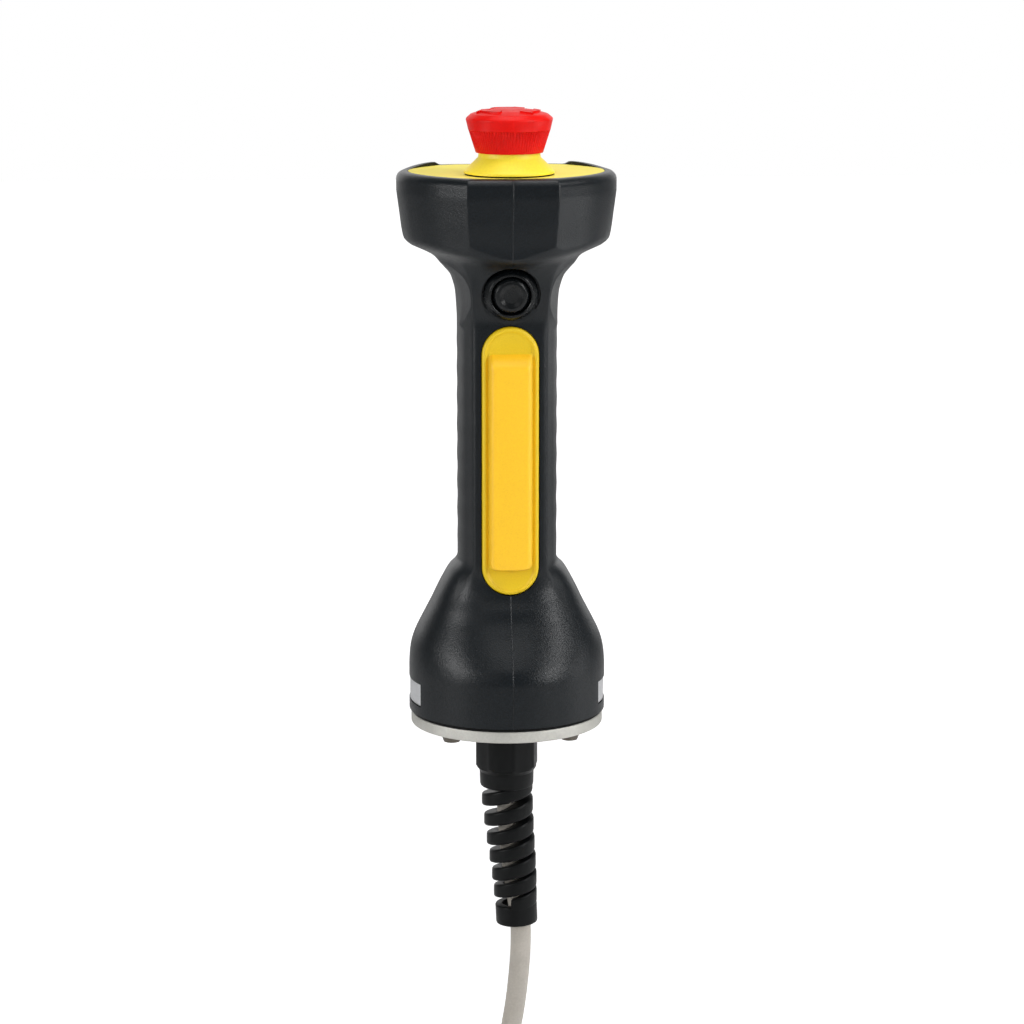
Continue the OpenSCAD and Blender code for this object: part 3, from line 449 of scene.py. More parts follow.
def section_rows():
    """(z, section) rows from the foot to the top of the head's sides."""
    rows = [(FOOT, BASE)]
    for u, width, depth in reversed(FLARE_ROWS):
        dip = VALLEY * sin(pi * smoothstep(u * VALLEY_RATE - VALLEY_START))
        soft = GRIP.round_facet + (BASE.round_facet - GRIP.round_facet) * min(1.0, width * FLARE_SOFT)
        made = mixed(GRIP, BASE, width, depth)._replace(round_facet=soft, dip=dip)
        rows.append((GRIP_LOW + (SHOULDER - GRIP_LOW) * u, made))
    lower = inset(HEAD, HEAD_DRAFT)
    for k in range(NECK_STEPS + 1):
        u = k / NECK_STEPS
        rows.append((GRIP_TOP + (HEAD_LOW - GRIP_TOP) * u, mixed(GRIP, lower, NECK_WIDTH(u), NECK_DEPTH(u))))
    rows.append((HEAD_MIDDLE, mixed(lower, HEAD, HEAD_MIDDLE_SHARE, HEAD_MIDDLE_SHARE)))
    rows.append((HEAD_FULL, HEAD))
    return rows


ROWS = section_rows()
SECTION_CURVES = [spline([(z, s[i]) for z, s in ROWS]) for i in range(len(Section._fields))]


def section_at(z):
    s = Section(*(curve(z) for curve in SECTION_CURVES))
    ripple = RIPPLE * window(z, *RIPPLE_SPAN) * cos(2 * pi * z / RIPPLE_PITCH)
    softer = (NECK_SOFT - s.round_facet) * window(z, *NECK_SOFT_SPAN)
    return s._replace(width=s.width + ripple, round_facet=s.round_facet + softer)


def facet_corner(section, bulge=1.0):
    """A blunt corner halfway along the side facet, the share of it that shows, and its roundness."""
    s = section
    out = Vector((s.front - s.side_front, s.facet - s.width)).normalized() * FACET_BULGE * bulge
    return Vector(((s.facet + s.width) / 2, -(s.front + s.side_front) / 2)) + out, bulge, FACET_ROUND


def side_corner(z, section):
    """The corner on the side facet: on the scoop's crease, or a blunt one on the head."""
    share = window(z, *SCOOP_SPAN)
    if not share:
        return facet_corner(section, smoothstep((z - BULGE_START) / BULGE_RISE))
    plain = facet_corner(section, 0.0)[0]
    crease = Vector((SCOOP_X(z), SCOOP_BACK(z) - section.front))
    return plain.lerp(crease, share), share, PLAIN_ROUND + (SCOOP_ROUND - PLAIN_ROUND) * share


def half_outline(section, edge=None):
    """Right half of a section, front to back, with rounded corners. edge is the corner on its facet."""
    s = section
    at, share, blunt = edge or facet_corner(section, 0.0)
    keys = [
        Vector((0, s.dip - s.front)), Vector((s.facet, -s.front)), at, Vector((s.width, -s.side_front)),
        Vector((s.width, s.side_back)), Vector((s.back_facet, s.back)), Vector((0, s.back)),
    ]
    mids = [(p + q) / 2 for p, q in zip(keys, keys[1:])]
    mids[0], mids[-1] = keys[0], keys[-1]
    mids[1] = at.lerp(mids[1], share)
    mids[2] = at.lerp(mids[2], share)
    out = [keys[0]]
    for i, t in enumerate((s.round_facet, blunt, s.round_front, s.round_back, s.round_rear)):
        corner = keys[i + 1]
        first = corner + (mids[i] - corner) * t
        last = corner + (mids[i + 1] - corner) * t
        start = out[-1]
        out += [start + (first - start) * k / STRAIGHT_STEPS for k in range(1, STRAIGHT_STEPS)]
        for k in range(CORNER_STEPS + 1):
            u = k / CORNER_STEPS
            out.append(first * (1 - u) ** 2 + corner * 2 * u * (1 - u) + last * u * u)
    start = out[-1]
    out += [start + (keys[-1] - start) * k / STRAIGHT_STEPS for k in range(1, STRAIGHT_STEPS + 1)]
    return out


def split_seam(outline, z):
    """The outline with a ridge or a groove where it meets the other half."""
    first, last = outline[0], outline[-1]
    ridge = SEAM_RIDGE * (2 if z < SHOULDER else 1)
    front = SEAM_DEPTH if SEAM_SPAN[0] < z < SEAM_SPAN[1] else -ridge
    return (
        [Vector((0, first.y + front)), Vector((SEAM_W, first.y))] + outline[1:-1]
        + [Vector((SEAM_W, last.y)), Vector((0, last.y - SEAM_DEPTH))]
    )


def sag(z, p, half_width):
    """How much lower the head's lower edge hangs towards the middle of the front."""
    if p.y >= 0:
        return 0.0
    return HEAD_SAG * window(z, *SAG_SPAN) * (1 - min(1.0, p.x / half_width)) ** SAG_POWER


# Rim round the top plate, which rises to a lip in the two back corners
RIM_W = 4.1
RIM_LIP = 1.2
LIP_START = 6.0
LIP_RISE = 14.0
LIP_BELOW = 0.2
RIM_NOTCH = 21.5
NOTCH_RISE = 2.5
RIM_STEP = 0.8
RIM_STEPS = 4
RIM_INSIDE = 92.5
EDGE_LOW = 95.2
EDGE_W = 2.6
EDGE_STEPS = 8
LEDGE_W = 2.0
PLATE_T = 2.0
PLATE_PLAY = 0.15
PLATE_EDGE = 0.15
PLATE_SHRINK = 0.996
PLATE_HOLE_R = 11.2
PLATE = inset(HEAD, RIM_W)._replace(round_facet=0.8, round_front=0.95, round_back=0.95, round_rear=0.5)


def lip(p):
    """How high the rim rises at a point."""
    return RIM_LIP * smoothstep((p.y - LIP_START) / LIP_RISE) * smoothstep((p.x - RIM_NOTCH) / NOTCH_RISE)


def wall_stations():
    """Per level: height and section outside, the same inside, share of the lip outside and inside."""
    levels = [FOOT]
    while levels[-1] < HEAD_FULL - LEVEL_STEP / 2:
        z = levels[-1]
        levels.append(z + (GRIP_STEP if GRIP_EVEN[0] < z < GRIP_EVEN[1] else LEVEL_STEP))
    levels[-1] = HEAD_FULL
    sections = [(z, section_at(z)) for z in levels]
    return [(z, s, z, inset(s, WALL), 0, 0) for z, s in sections]


def rim_stations():
    """The same above the walls: over the rounded rim outside, and over the plate's ledge inside."""
    ledge = TOP - PLATE_T
    carrier = inset(PLATE, LEDGE_W)
    hole = inset(PLATE, -PLATE_PLAY)
    stations = []
    for k in range(1, RIM_STEPS + 1):
        share = k / RIM_STEPS
        inside = inset(HEAD, WALL + (RIM_W + LEDGE_W - WALL) * share)
        inner_z = HEAD_FULL + (RIM_INSIDE - HEAD_FULL) * share
        stations.append((HEAD_FULL + k * RIM_STEP, HEAD, inner_z, inside, LIP_BELOW * share, 0))
    for k in range(EDGE_STEPS + 1):
        a = pi / 2 * k / EDGE_STEPS
        climb = 2 * k / EDGE_STEPS
        if climb <= 1:
            inner = (RIM_INSIDE + (ledge - RIM_INSIDE) * climb, carrier)
        else:
            inner = (ledge + (TOP - ledge) * (climb - 1), hole)
        z = EDGE_LOW + (TOP - EDGE_LOW) * sin(a)
        share = LIP_BELOW + (1 - LIP_BELOW) * k / EDGE_STEPS
        inner_share = 1 if k == EDGE_STEPS else 0
        stations.append((z, inset(HEAD, EDGE_W * (1 - cos(a))), *inner, share, inner_share))
    return stations


def shell_rings():
    """C-shaped rings of the right half: outside from front to back, inside from back to front."""
    rings = []
    for z, outer, inner_z, inner, share, inner_share in wall_stations() + rim_stations():
        out = split_seam(half_outline(outer, side_corner(z, outer)), z)
        into = half_outline(inner, facet_corner(inner) if inner_z > HEAD_FULL else None)
        into.insert(1, into[0] * (1 - SEAM_SHARE) + into[1] * SEAM_SHARE)
        into.insert(-1, into[-1] * (1 - SEAM_SHARE) + into[-2] * SEAM_SHARE)
        rings.append(
            [(p.x, p.y, z - sag(z, p, outer.width) + share * lip(p)) for p in out]
            + [(p.x, p.y, inner_z + inner_share * lip(p)) for p in reversed(into)]
        )
    return rings


def cutter(name, points, faces, at=HERE):
    obj = new_object(name, solid_mesh(name, points, faces, at))
    shade(obj)
    return obj


def cut(obj, tools):
    """The object's mesh with the tools' volumes taken out."""
    for tool in tools:
        step = obj.modifiers.new(tool.name, "BOOLEAN")
        step.operation = "DIFFERENCE"
        step.solver = "EXACT"
        step.object = tool
    bpy.context.view_layer.update()
    made = bpy.data.meshes.new_from_object(obj.evaluated_get(bpy.context.evaluated_depsgraph_get()))
    obj.modifiers.clear()
    obj.data = made


# Bare plates on both sides of the base, and the recesses that they lie in
LABEL_ANGLE = 25.3
LABEL_R = 33.7
LABEL_T = 0.4
LABEL_LOW = -87.2
LABEL_TOP = -79.6
LABEL_STEPS = 24
RECESS_ANGLE = LABEL_ANGLE + 0.6
RECESS_R = 38.0
RECESS_LOW = LABEL_LOW - 0.3
RECESS_TOP = LABEL_TOP + 0.3


def label_bands(angle, outer, low, high):
    """A curved band on each side of the base, as two solids."""
    profile = ((LABEL_R, low), (outer, low), (outer, high), (LABEL_R, high))
    bands = []
    for side in (0, pi):
        rings = []
        for k in range(LABEL_STEPS + 1):
            a = side + radians(angle) * (2 * k / LABEL_STEPS - 1)
            rings.append([polar(r, a, z) for r, z in profile])
        bands.append(capped(rings))
    return bands


def build_labels():
    points, faces = [], []
    for more, quads in label_bands(LABEL_ANGLE, LABEL_R + LABEL_T, LABEL_LOW, LABEL_TOP):
        faces += [tuple(i + len(points) for i in f) for f in quads]
        points += more
    piece("side_plates_skin", points, faces, "housing", "label_metal", ["side_plates"])


# Openings: the boot's slot, and the button's seat and barrel hole along the button's axis
SLOT_R = 10.05
SLOT_HALF = 36.9
SLOT_DEPTHS = (-11.0, -32.0)
SLOT_STEPS = 24
BUTTON_Y = -21.9
BUTTON_Z = 58.2
BUTTON_TILT = 10.0
BUTTON_AT = (
    Matrix.Translation((0, BUTTON_Y * MM, BUTTON_Z * MM))
    @ Matrix.Rotation(radians(90 + BUTTON_TILT), 4, "X")
)
SEAT_R = 10.1
SEAT_RIM_R = 10.8
SEAT_OUT = 14.0
BARREL_R = 8.1
BARREL_SPAN = (-15.0, 3.0)


def stadium(r, steps):
    """A stadium outline of (x, z) points with the slot's straight sides."""
    ring = []
    for start, middle in ((0, SLOT_HALF), (pi, -SLOT_HALF)):
        for k in range(steps + 1):
            a = start + pi * k / steps
            ring.append((r * cos(a), middle + r * sin(a)))
    return ring


def housing_cutters():
    outline = stadium(SLOT_R, SLOT_STEPS)
    slot = cutter("slot_cut", *capped([[(x, y, z) for x, z in outline] for y in SLOT_DEPTHS]))
    recess = cutter("recess_cut", *rod(SEAT_R, 0, SEAT_OUT), at=BUTTON_AT)
    barrel = cutter("barrel_cut", *rod(BARREL_R, *BARREL_SPAN), at=BUTTON_AT)
    bands = label_bands(RECESS_ANGLE, RECESS_R, RECESS_LOW, RECESS_TOP)
    return [slot, recess, barrel, *(cutter("label_cut", *band) for band in bands)]


def build_housing():
    """Two half shells with their openings, and the floor of the button's seat."""
    rings = shell_rings()
    n = len(rings[0])
    points, faces = skin(rings, closed=False)
    last = len(points) - n
    for k in range(n // 2 - 1):
        faces.append((n - 1 - k, n - 2 - k, k + 1, k))
        faces.append((last + k, last + k + 1, last + n - 2 - k, last + n - 1 - k))
    tools = housing_cutters()
    for side, node in ((1, "housing_right"), (-1, "housing_left")):
        placed = [(side * x, y, z) for x, y, z in points]
        obj = new_object(node + "_skin", solid_mesh(node + "_skin", placed, faces))
        shade(obj, ALL_SMOOTH)
        cut(obj, tools)
        finish_piece(obj, "housing", "housing", [node], sharp=CRISP)
    for tool in tools:
        bpy.data.objects.remove(tool)
    seat = [(BARREL_R, -WALL), (SEAT_RIM_R, -WALL), (SEAT_RIM_R, 0), (BARREL_R, 0)]
    piece("button_seat", *lathe(seat, ROD_STEPS), "housing", "housing", at=BUTTON_AT)


# Emergency stop: profiles are (radius, height, rounding) about its axis
STOP_Y = -14.5
STOP_AT = Matrix.Translation((0, STOP_Y * MM, 0))
COLLAR = [
    (11.0, 100), (11.0, 98.5), (15.4, 98.5, 0.25), (15.4, 99.3, 0.4), (10.6, 103.9, 0.8), (10.4, 106.5, 0.2),
    (4.6, 106.5), (4.6, 100),
]
COLLAR_STEPS = 128
KNOB = [
    (11.35, 109.1), (11.35, 105.5), (11.45, 105.5, 0.05), (11.65, 106.2, 0.4), (13.8, 112.9, 0.2),
    (13.95, 113.2, 0.1), (14.85, 117.0, 1.0), (13.0, 118.5, 1.6), (9.0, 119.6, 3.0), (4.5, 120.2, 3.0),
    (0.01, 120.35), (0.01, 116.4), (4.55, 116.4), (4.55, 109.1),
]
# Ribs on the knob's cone, and shallow flats on the band above it
RIBS = 84
RIB_STEPS = 4
RIB_DEPTH = 0.5
RIB_POWER = 0.7
RIB_R = 11.5
RIB_LOW = 106.4
RIB_TOP = 113.0
FLATS = 12
FLAT_DEPTH = 0.16
FLAT_R = 13.0
FLAT_SPAN = (113.0, 0.4, 118.0, 0.8)
# Raised arrows on the knob's dome; the neck and the tip are shares of the half angle
ARROWS = (215, 325, 90)
ARROW_HALF = 34.0
ARROW_R = 9.4
ARROW_W = 1.15
ARROW_HEAD = 2.6
ARROW_NECK = -0.5
ARROW_TIP = -1.1
ARROW_STEPS = 16
ARROW_LIFTS = (-0.6, 0.4)
DOME_TOP = 120.3
DOME_FALL = 0.0085
# Spring, the middle of its wire kept in from both ends
SPRING_LOW = 82.5
SPRING_TOP = 97.2
SPRING_END = 0.72
SPRING_R = 6.6
SPRING_WIRE = 0.58
SPRING_TURNS = 5
SPRING_STEPS = 32
WIRE_SIDES = 8


def build_top_plate():
    half = half_outline(PLATE, facet_corner(PLATE))
    ring = half + [Vector((-p.x, p.y)) for p in reversed(half[1:-1])]
    angles = [atan2(p.y - STOP_Y, p.x) for p in ring]
    hole = [Vector((PLATE_HOLE_R * cos(a), STOP_Y + PLATE_HOLE_R * sin(a))) for a in angles]
    levels = [
        (hole, 1.0, TOP - PLATE_T), (ring, 1.0, TOP - PLATE_T), (ring, 1.0, TOP - PLATE_EDGE),
        (ring, PLATE_SHRINK, TOP), (hole, 1.0, TOP),
    ]
    rows = [[(p.x * share, p.y * share, z) for p in outline] for outline, share, z in levels]
    piece("top_plate_skin", *skin(rows), "housing", "yellow_plate", ["top_plate"])


def build_stop():
    collar = lathe(rounded(COLLAR), COLLAR_STEPS)
    piece("estop_collar_skin", *collar, "housing", "yellow_collar", ["estop_collar"], at=STOP_AT)
    build_knob()
    build_spring()


def build_spring():
    """The stop's spring, a helix of wire."""
    low, high = SPRING_LOW + SPRING_END, SPRING_TOP - SPRING_END
    steps = SPRING_TURNS * SPRING_STEPS
    rings = []
    for i in range(steps + 1):
        a = 2 * pi * SPRING_TURNS * i / steps
        z = low + (high - low) * i / steps
        ring = []
        for k in range(WIRE_SIDES):
            b = 2 * pi * k / WIRE_SIDES
            r = SPRING_R + SPRING_WIRE * cos(b)
            ring.append(polar(r, a, z + SPRING_WIRE * sin(b)))
        rings.append(ring)
    spring = piece("estop_spring_skin", *capped(rings), "housing", "steel", ["estop_spring"], at=STOP_AT)
    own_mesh(spring)


def build_knob():
    """Mushroom knob with a ribbed cone, a band of shallow flats and a low dome with arrows."""
    steps = RIBS * RIB_STEPS
    profile = rounded(KNOB)
    rings = []
    for k in range(steps):
        a = 2 * pi * k / steps
        rib = RIB_DEPTH * (0.5 - 0.5 * cos(2 * pi * k / RIB_STEPS)) ** RIB_POWER
        flat = FLAT_DEPTH * abs(sin(FLATS * a / 2))
        ring = []
        for r, z in profile:
            reach = r
            if r > RIB_R and RIB_LOW < z < RIB_TOP:
                reach -= rib
            if r > FLAT_R:
                reach -= flat * window(z, *FLAT_SPAN)
            ring.append(polar(reach, a, z))
        rings.append(ring)
    piece("estop_knob_skin", *skin(rings), "estop_head", "red_knob", ["estop_knob"], at=STOP_AT,
          sharp=SMOOTH)
    for i, turn in enumerate(ARROWS):
        piece(f"twist_arrow_{i}", *twist_arrow(radians(turn)), "estop_head", "red_knob", at=STOP_AT)


def twist_arrow(middle):
    """A low raised arc with an arrow head at one end, bent over the dome."""
    half = radians(ARROW_HALF)
    neck, tip = middle + half * ARROW_NECK, middle + half * ARROW_TIP
    along = [middle + half * (1 + (ARROW_NECK - 1) * k / ARROW_STEPS) for k in range(ARROW_STEPS + 1)]
    head = [(ARROW_R + ARROW_HEAD, neck), (ARROW_R, tip), (ARROW_R - ARROW_HEAD, neck)]
    outer = [(ARROW_R + ARROW_W, a) for a in along]
    inner = [(ARROW_R - ARROW_W, a) for a in reversed(along)]
    rows = []
    for lift in ARROW_LIFTS:
        rows.append([polar(r, a, DOME_TOP - DOME_FALL * r * r + lift) for r, a in outer + head + inner])
    return capped(rows)


# Push-button: profiles are (radius, height, rounding) along its tilted axis
BEZEL = [
    (6.8, -7), (6.8, 2.8, 0.3), (7.2, 3.1, 0.3), (7.7, 2.9, 0.4), (9.35, 0.7, 0.5), (9.35, 0.0), (8.0, 0.0),
    (8.0, -14), (3.6, -14), (3.6, -9), (6.8, -9),
]
CAP = [
    (0.01, 2.75), (2.6, 2.8, 1.0), (4.2, 3.55, 0.9), (5.3, 3.35, 0.9), (6.15, 2.3, 0.6), (6.15, -4),
    (2.6, -4), (2.6, -11.4), (0.01, -11.4),
]


def build_button():
    for node, profile, body in (("button_bezel", BEZEL, "housing"), ("push_button", CAP, "button")):
        turned = lathe(rounded(profile))
        piece(node + "_skin", *turned, body, "black_plastic", [node], at=BUTTON_AT, finish="button")


# Trigger: the boot lies in the housing's slot, the bar slides in it, and a fillet joins them
BOOT_FRONT = -20.6
BOOT_BACK = -15.2
BOOT_R = 9.75
BOOT_EDGE = 1.2
BOOT_FLANGE = 0.8
BOOT_FLANGE_T = 1.5
BOOT_STEPS = 36
GROOVE = 0.6
# Groove round the bar: distance in from the boot's outline, share of the groove's depth
GROOVE_ROWS = ((1.45, 0.15), (1.7, 0.5), (1.9, 0.85), (2.1, 1.0))
BAR_W = 7.2
BAR_L = 37.4
BAR_FACE = -24.4
BAR_FOOT = 0.35
BAR_SLOPE = 3.0
BAR_PLAY = 0.3
BAR_TOP_R = 1.1
BAR_LOW_R = 2.3
BAR_STEPS = 8
# Bar's rounded edge: depth, distance in from the bar's outline
BAR_ROWS = (
    (-14.9, 0.0), (-20.4, 0.0), (-22.4, 0.05), (-23.0, 0.13), (-23.6, 0.38), (-24.0, 0.72), (-24.25, 1.1),
    (-24.36, 1.45), (BAR_FACE, 1.9),
)
FILLET = 0.45
FILLET_GAP = 0.02
# Hidden side of the fillet: distance in from the bar's outline, depth from the fillet's end or its floor
FILLET_TOP = (0.25, -0.1)
FILLET_LOW = (-0.1, 0.4)
QUARTER_STEPS = 6
LOOP_POINTS = 360


def loop(outline):
    """A closed (x, z) outline resampled to evenly spaced points."""
    ends = [Vector(p) for p in outline]
    ends.append(ends[0])
    lengths = [(b - a).length for a, b in zip(ends, ends[1:])]
    step = sum(lengths) / LOOP_POINTS
    out, i, done = [], 0, 0.0
    for k in range(LOOP_POINTS):
        want = k * step
        while done + lengths[i] < want:
            done += lengths[i]
            i += 1
        out.append(ends[i].lerp(ends[i + 1], (want - done) / lengths[i]))
    return out


def boot_loop(d):
    """The boot's stadium outline drawn in by d, from the middle of its right side."""
    r = BOOT_R - d
    return loop([(r, 0.0), *stadium(r, BOOT_STEPS)])


def bar_loop(d, drop=0.0):
    """The bar's outline drawn in by d, its upper end lowered by drop, from the middle of its right side."""
    x, top, low = BAR_W - d, BAR_L - d - drop, BAR_FOOT * d - BAR_L
    corners = [(x, top, BAR_TOP_R), (-x, top, BAR_TOP_R), (-x, low, BAR_LOW_R), (x, low, BAR_LOW_R)]
    return loop([(x, 0.0), *rounded(corners, steps=BAR_STEPS)])


def at_depth(ring, y):
    return [(p.x, y, p.y) for p in ring]


def quarter():
    """Sine and cosine at even steps of a quarter turn."""
    angles = [pi / 2 * k / QUARTER_STEPS for k in range(QUARTER_STEPS + 1)]
    return [(sin(a), cos(a)) for a in angles]


def build_trigger():
    build_boot()
    rows = []
    for y, d in BAR_ROWS:
        drop = BAR_SLOPE * max(0.0, (BOOT_FRONT - y) / (BOOT_FRONT - BAR_FACE))
        rows.append(at_depth(bar_loop(d, drop), y))
    piece("trigger_bar_skin", *capped(rows), "trigger", "amber_bar", ["trigger_bar"], sharp=SMOOTHER)
    build_fillet()


def build_boot():
    """The rubber boot: a flange behind the slot, a rounded rim and a groove round the bar."""
    flange = BOOT_BACK - BOOT_FLANGE_T
    floor = BOOT_FRONT + GROOVE
    rows = [
        at_depth(boot_loop(-BOOT_FLANGE), BOOT_BACK), at_depth(boot_loop(-BOOT_FLANGE), flange),
        at_depth(boot_loop(0), flange),
    ]
    for sine, cosine in quarter():
        rows.append(at_depth(boot_loop(BOOT_EDGE * (1 - cosine)), BOOT_FRONT + BOOT_EDGE * (1 - sine)))
    rows += [at_depth(boot_loop(d), BOOT_FRONT + GROOVE * share) for d, share in GROOVE_ROWS]
    rows += [at_depth(bar_loop(-BAR_PLAY), y) for y in (floor, BOOT_BACK)]
    piece("trigger_boot_skin", *skin(rows), "housing", "yellow_rubber", ["trigger_boot"])


def build_fillet():
    """The rubber fillet between boot and bar."""
    floor = BOOT_FRONT + GROOVE
    rows = []
    for sine, cosine in quarter():
        out = FILLET_GAP + FILLET * (1 - sine)
        rows.append(at_depth(bar_loop(-out), floor - FILLET_GAP - FILLET * (1 - cosine)))
    rows.append(at_depth(bar_loop(FILLET_TOP[0]), floor - FILLET + FILLET_TOP[1]))
    rows.append(at_depth(bar_loop(FILLET_LOW[0]), floor + FILLET_LOW[1]))
    fillet = new_object("boot_fillet", solid_mesh("boot_fillet", *skin(rows)))
    shade(fillet, SMOOTHER)
    fillet.data.materials.append(MATERIALS["yellow_rubber"])
    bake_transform(fillet)


# Base: profiles of the gasket and the metal plate are (radius, height, rounding)
GASKET = [(24.0, DISC_TOP), (33.5, DISC_TOP), (33.5, FOOT), (24.0, FOOT)]
DISC = [(8.05, DISC_LOW), (33.75, DISC_LOW, 0.5), (33.75, DISC_TOP, 0.4), (8.05, DISC_TOP)]
BASE_STEPS = 160


def build_base():
    gasket = lathe(rounded(GASKET, 0.15, 3), BASE_STEPS)
    piece("base_gasket_skin", *gasket, "housing", "black_rubber", ["base_gasket"])
    disc = lathe(rounded(DISC, 0.1, 4), BASE_STEPS)
    piece("base_plate_skin", *disc, "housing", "base_metal", ["base_plate"])


# Gland: octagonal nut with a round skirt, helical bend protector and end ring
GLAND_BORE = 4.95
NUT_SIDES = 8
NUT_R = 11.3
NUT_TRIM_R = 11.15
NUT_TURN = 10.0
NUT_BORE = 8.1
NUT_SEAT = -108.9
NUT_LOW = -113.5
NUT_FOOT_R = 10.5
NUT_STEPS = 96
HELIX_TOP = -120.2
# Skirt below the nut: radius, height
SKIRT_ROWS = [
    (10.0, NUT_LOW - 0.4), (9.6, NUT_LOW - 1.2), (9.5, HELIX_TOP + 1.0), (9.3, HELIX_TOP + 0.35),
    (8.9, HELIX_TOP),
]
RING_TOP = -164.0
RING_LOW = -171.2
RING_TILT = -2.5
RING_STEPS = 72
# Height of the helix where it passes the left side, turn by turn
TURNS = [
    (-1.0, -117.6), (-0.75, -119.4), (0, -125.2), (1, -132.6), (2, -139.7), (3, -146.3), (4, -153.0),
    (5, -159.3), (5.8, -164.4),
]
HELIX_START = -0.75
HELIX_SKEW = 0.26
HELIX_R = 9.15
HELIX_END_R = 7.5
HELIX_STEPS = 48
# Band's height on the left, and how much taller it is on the right
BAND = 4.7
BAND_MORE = 1.2
# Band's section: share of the reach from the bore, share of its height, rounding
BAND_SECTION = [(-0.1, -0.5), (1, -0.5, 0.22), (1, 0.5, 0.22), (-0.1, 0.5)]
# Sideways bend of the protector by height
LEAN = spline([
    (-172, 3.5), (-166, 3.4), (-156, 2.95), (-150, 2.5), (-143, 1.75), (-136, 1.1), (-129, 0.5),
    (-122, 0.15), (-113.5, 0),
])


def build_gland():
    span = 360 / NUT_SIDES
    nut = []
    for k in range(NUT_STEPS):
        a = 2 * pi * k / NUT_STEPS
        turn = (degrees(a) - NUT_TURN) % span - span / 2
        edge = min(NUT_R * cos(pi / NUT_SIDES) / cos(radians(turn)), NUT_TRIM_R)
        outline = [
            (NUT_BORE, DISC_LOW), (edge - 0.3, DISC_LOW), (edge, DISC_LOW - 0.4), (edge, NUT_LOW + 1.2),
            (min(edge, NUT_FOOT_R), NUT_LOW + 0.2), *SKIRT_ROWS,
            (GLAND_BORE, HELIX_TOP), (GLAND_BORE, NUT_SEAT), (NUT_BORE, NUT_SEAT),
        ]
        nut.append([polar(r, a, z) for r, z in outline])
    nut = skin(nut)
    piece("gland_nut_skin", *nut, "housing", "black_plastic", ["gland_spiral"], sharp=CRISP)
    build_helix()
    h = RING_TOP - RING_LOW
    ring = rounded([(GLAND_BORE, 0), (5.8, -h, 0.3), (7.4, -h, 0.8), (7.45, 0, 0.6)], 0.15)
    place = Matrix.Translation((LEAN(RING_TOP) * MM, 0, RING_TOP * MM))
    place = place @ Matrix.Rotation(radians(RING_TILT), 4, "Y")
    piece("gland_ring_skin", *lathe(ring, RING_STEPS), "housing", "black_plastic", at=place)


def build_helix():
    """The helical band, wound down from the skirt to the end ring and thinner towards it."""
    first, last = HELIX_START, TURNS[-1][0]
    count = round((last - first) * HELIX_STEPS)
    level = spline(TURNS)
    outline = rounded(BAND_SECTION, 0.02, 5)
    rings = []
    for i in range(count + 1):
        n = first + (last - first) * i / count
        a = pi - 2 * pi * n
        right = 0.5 + 0.5 * cos(a)
        z = level(n - HELIX_SKEW * right)
        band = BAND + BAND_MORE * right
        reach = HELIX_R + (HELIX_END_R - HELIX_R) * max(0.0, n) / last - GLAND_BORE
        ring = []
        for share, height in outline:
            r = GLAND_BORE + share * reach
            ring.append((LEAN(z) + r * cos(a), r * sin(a), z + height * band))
        rings.append(ring)
    piece("gland_helix_skin", *capped(rings), "housing", "black_plastic", sharp=SMOOTH)


# Cable: it hangs from the gland, lies in a tied coil and ends in the connector
CORD_D = 7.3
CORD_STEP = 2.5
CORD_RESOLUTION = 5
LEAD = [
    (0, 0, -86), (0, 0, -100), (0, 0, -116), (0.3, 0, -130), (1.4, 0, -145), (3.2, 0, -158), (4.8, 0, -170),
    (5, 0, -180), (4.2, 0, -192), (2.6, 0, -205), (0, 0, -218), (-3, 0, -227), (-8, 0, -235),
    (-15, 0, -241.5), (-24, 0, -246),
]
COIL_AT = Vector((-36.0, -58.6, 0.0))
COIL_D = 95.0
COIL_PITCH = 7.4
COIL_TURNS = (4, 4, 4, 3 + 2 / 3)
COIL_TOP = -247.7
COIL_START = 90.0
COIL_STEP = 3.0
COIL_CROSSING = 50.0
# Last stretch to the connector, from the coil's middle
TAIL = [
    (-28, 23.5, -247.3), (-35.7, 13, -244.4), (-40.5, 1, -241.5), (-41.5, -11, -240.4), (-39.7, -21, -239.6),
    (-35.5, -29, -238.4), (-28.5, -38, -236.6), (-19.5, -43.3, -235), (-9, -45, -234.4), (4, -45, -234.4),
]
TIE_ANGLE = 20.0
TIE_W = 8.0
TIE_T = 1.2
TIE_PLAY = 0.4
TIE_STEPS = 72


def through(points):
    """Points close together on a smooth line through the given ones."""
    out = []
    padded = [points[0], *points, points[-1]]
    for i in range(1, len(padded) - 2):
        p0, p1, p2, p3 = (Vector(p) for p in padded[i - 1:i + 3])
        n = max(2, round((p2 - p1).length / CORD_STEP))
        for k in range(n):
            t = k / n
            out.append(
                0.5 * (2 * p1 + (p2 - p0) * t + (2 * p0 - 5 * p1 + 4 * p2 - p3) * t * t
                       + (3 * p1 - p0 - 3 * p2 + p3) * t ** 3)
            )
    out.append(Vector(points[-1]))
    return out


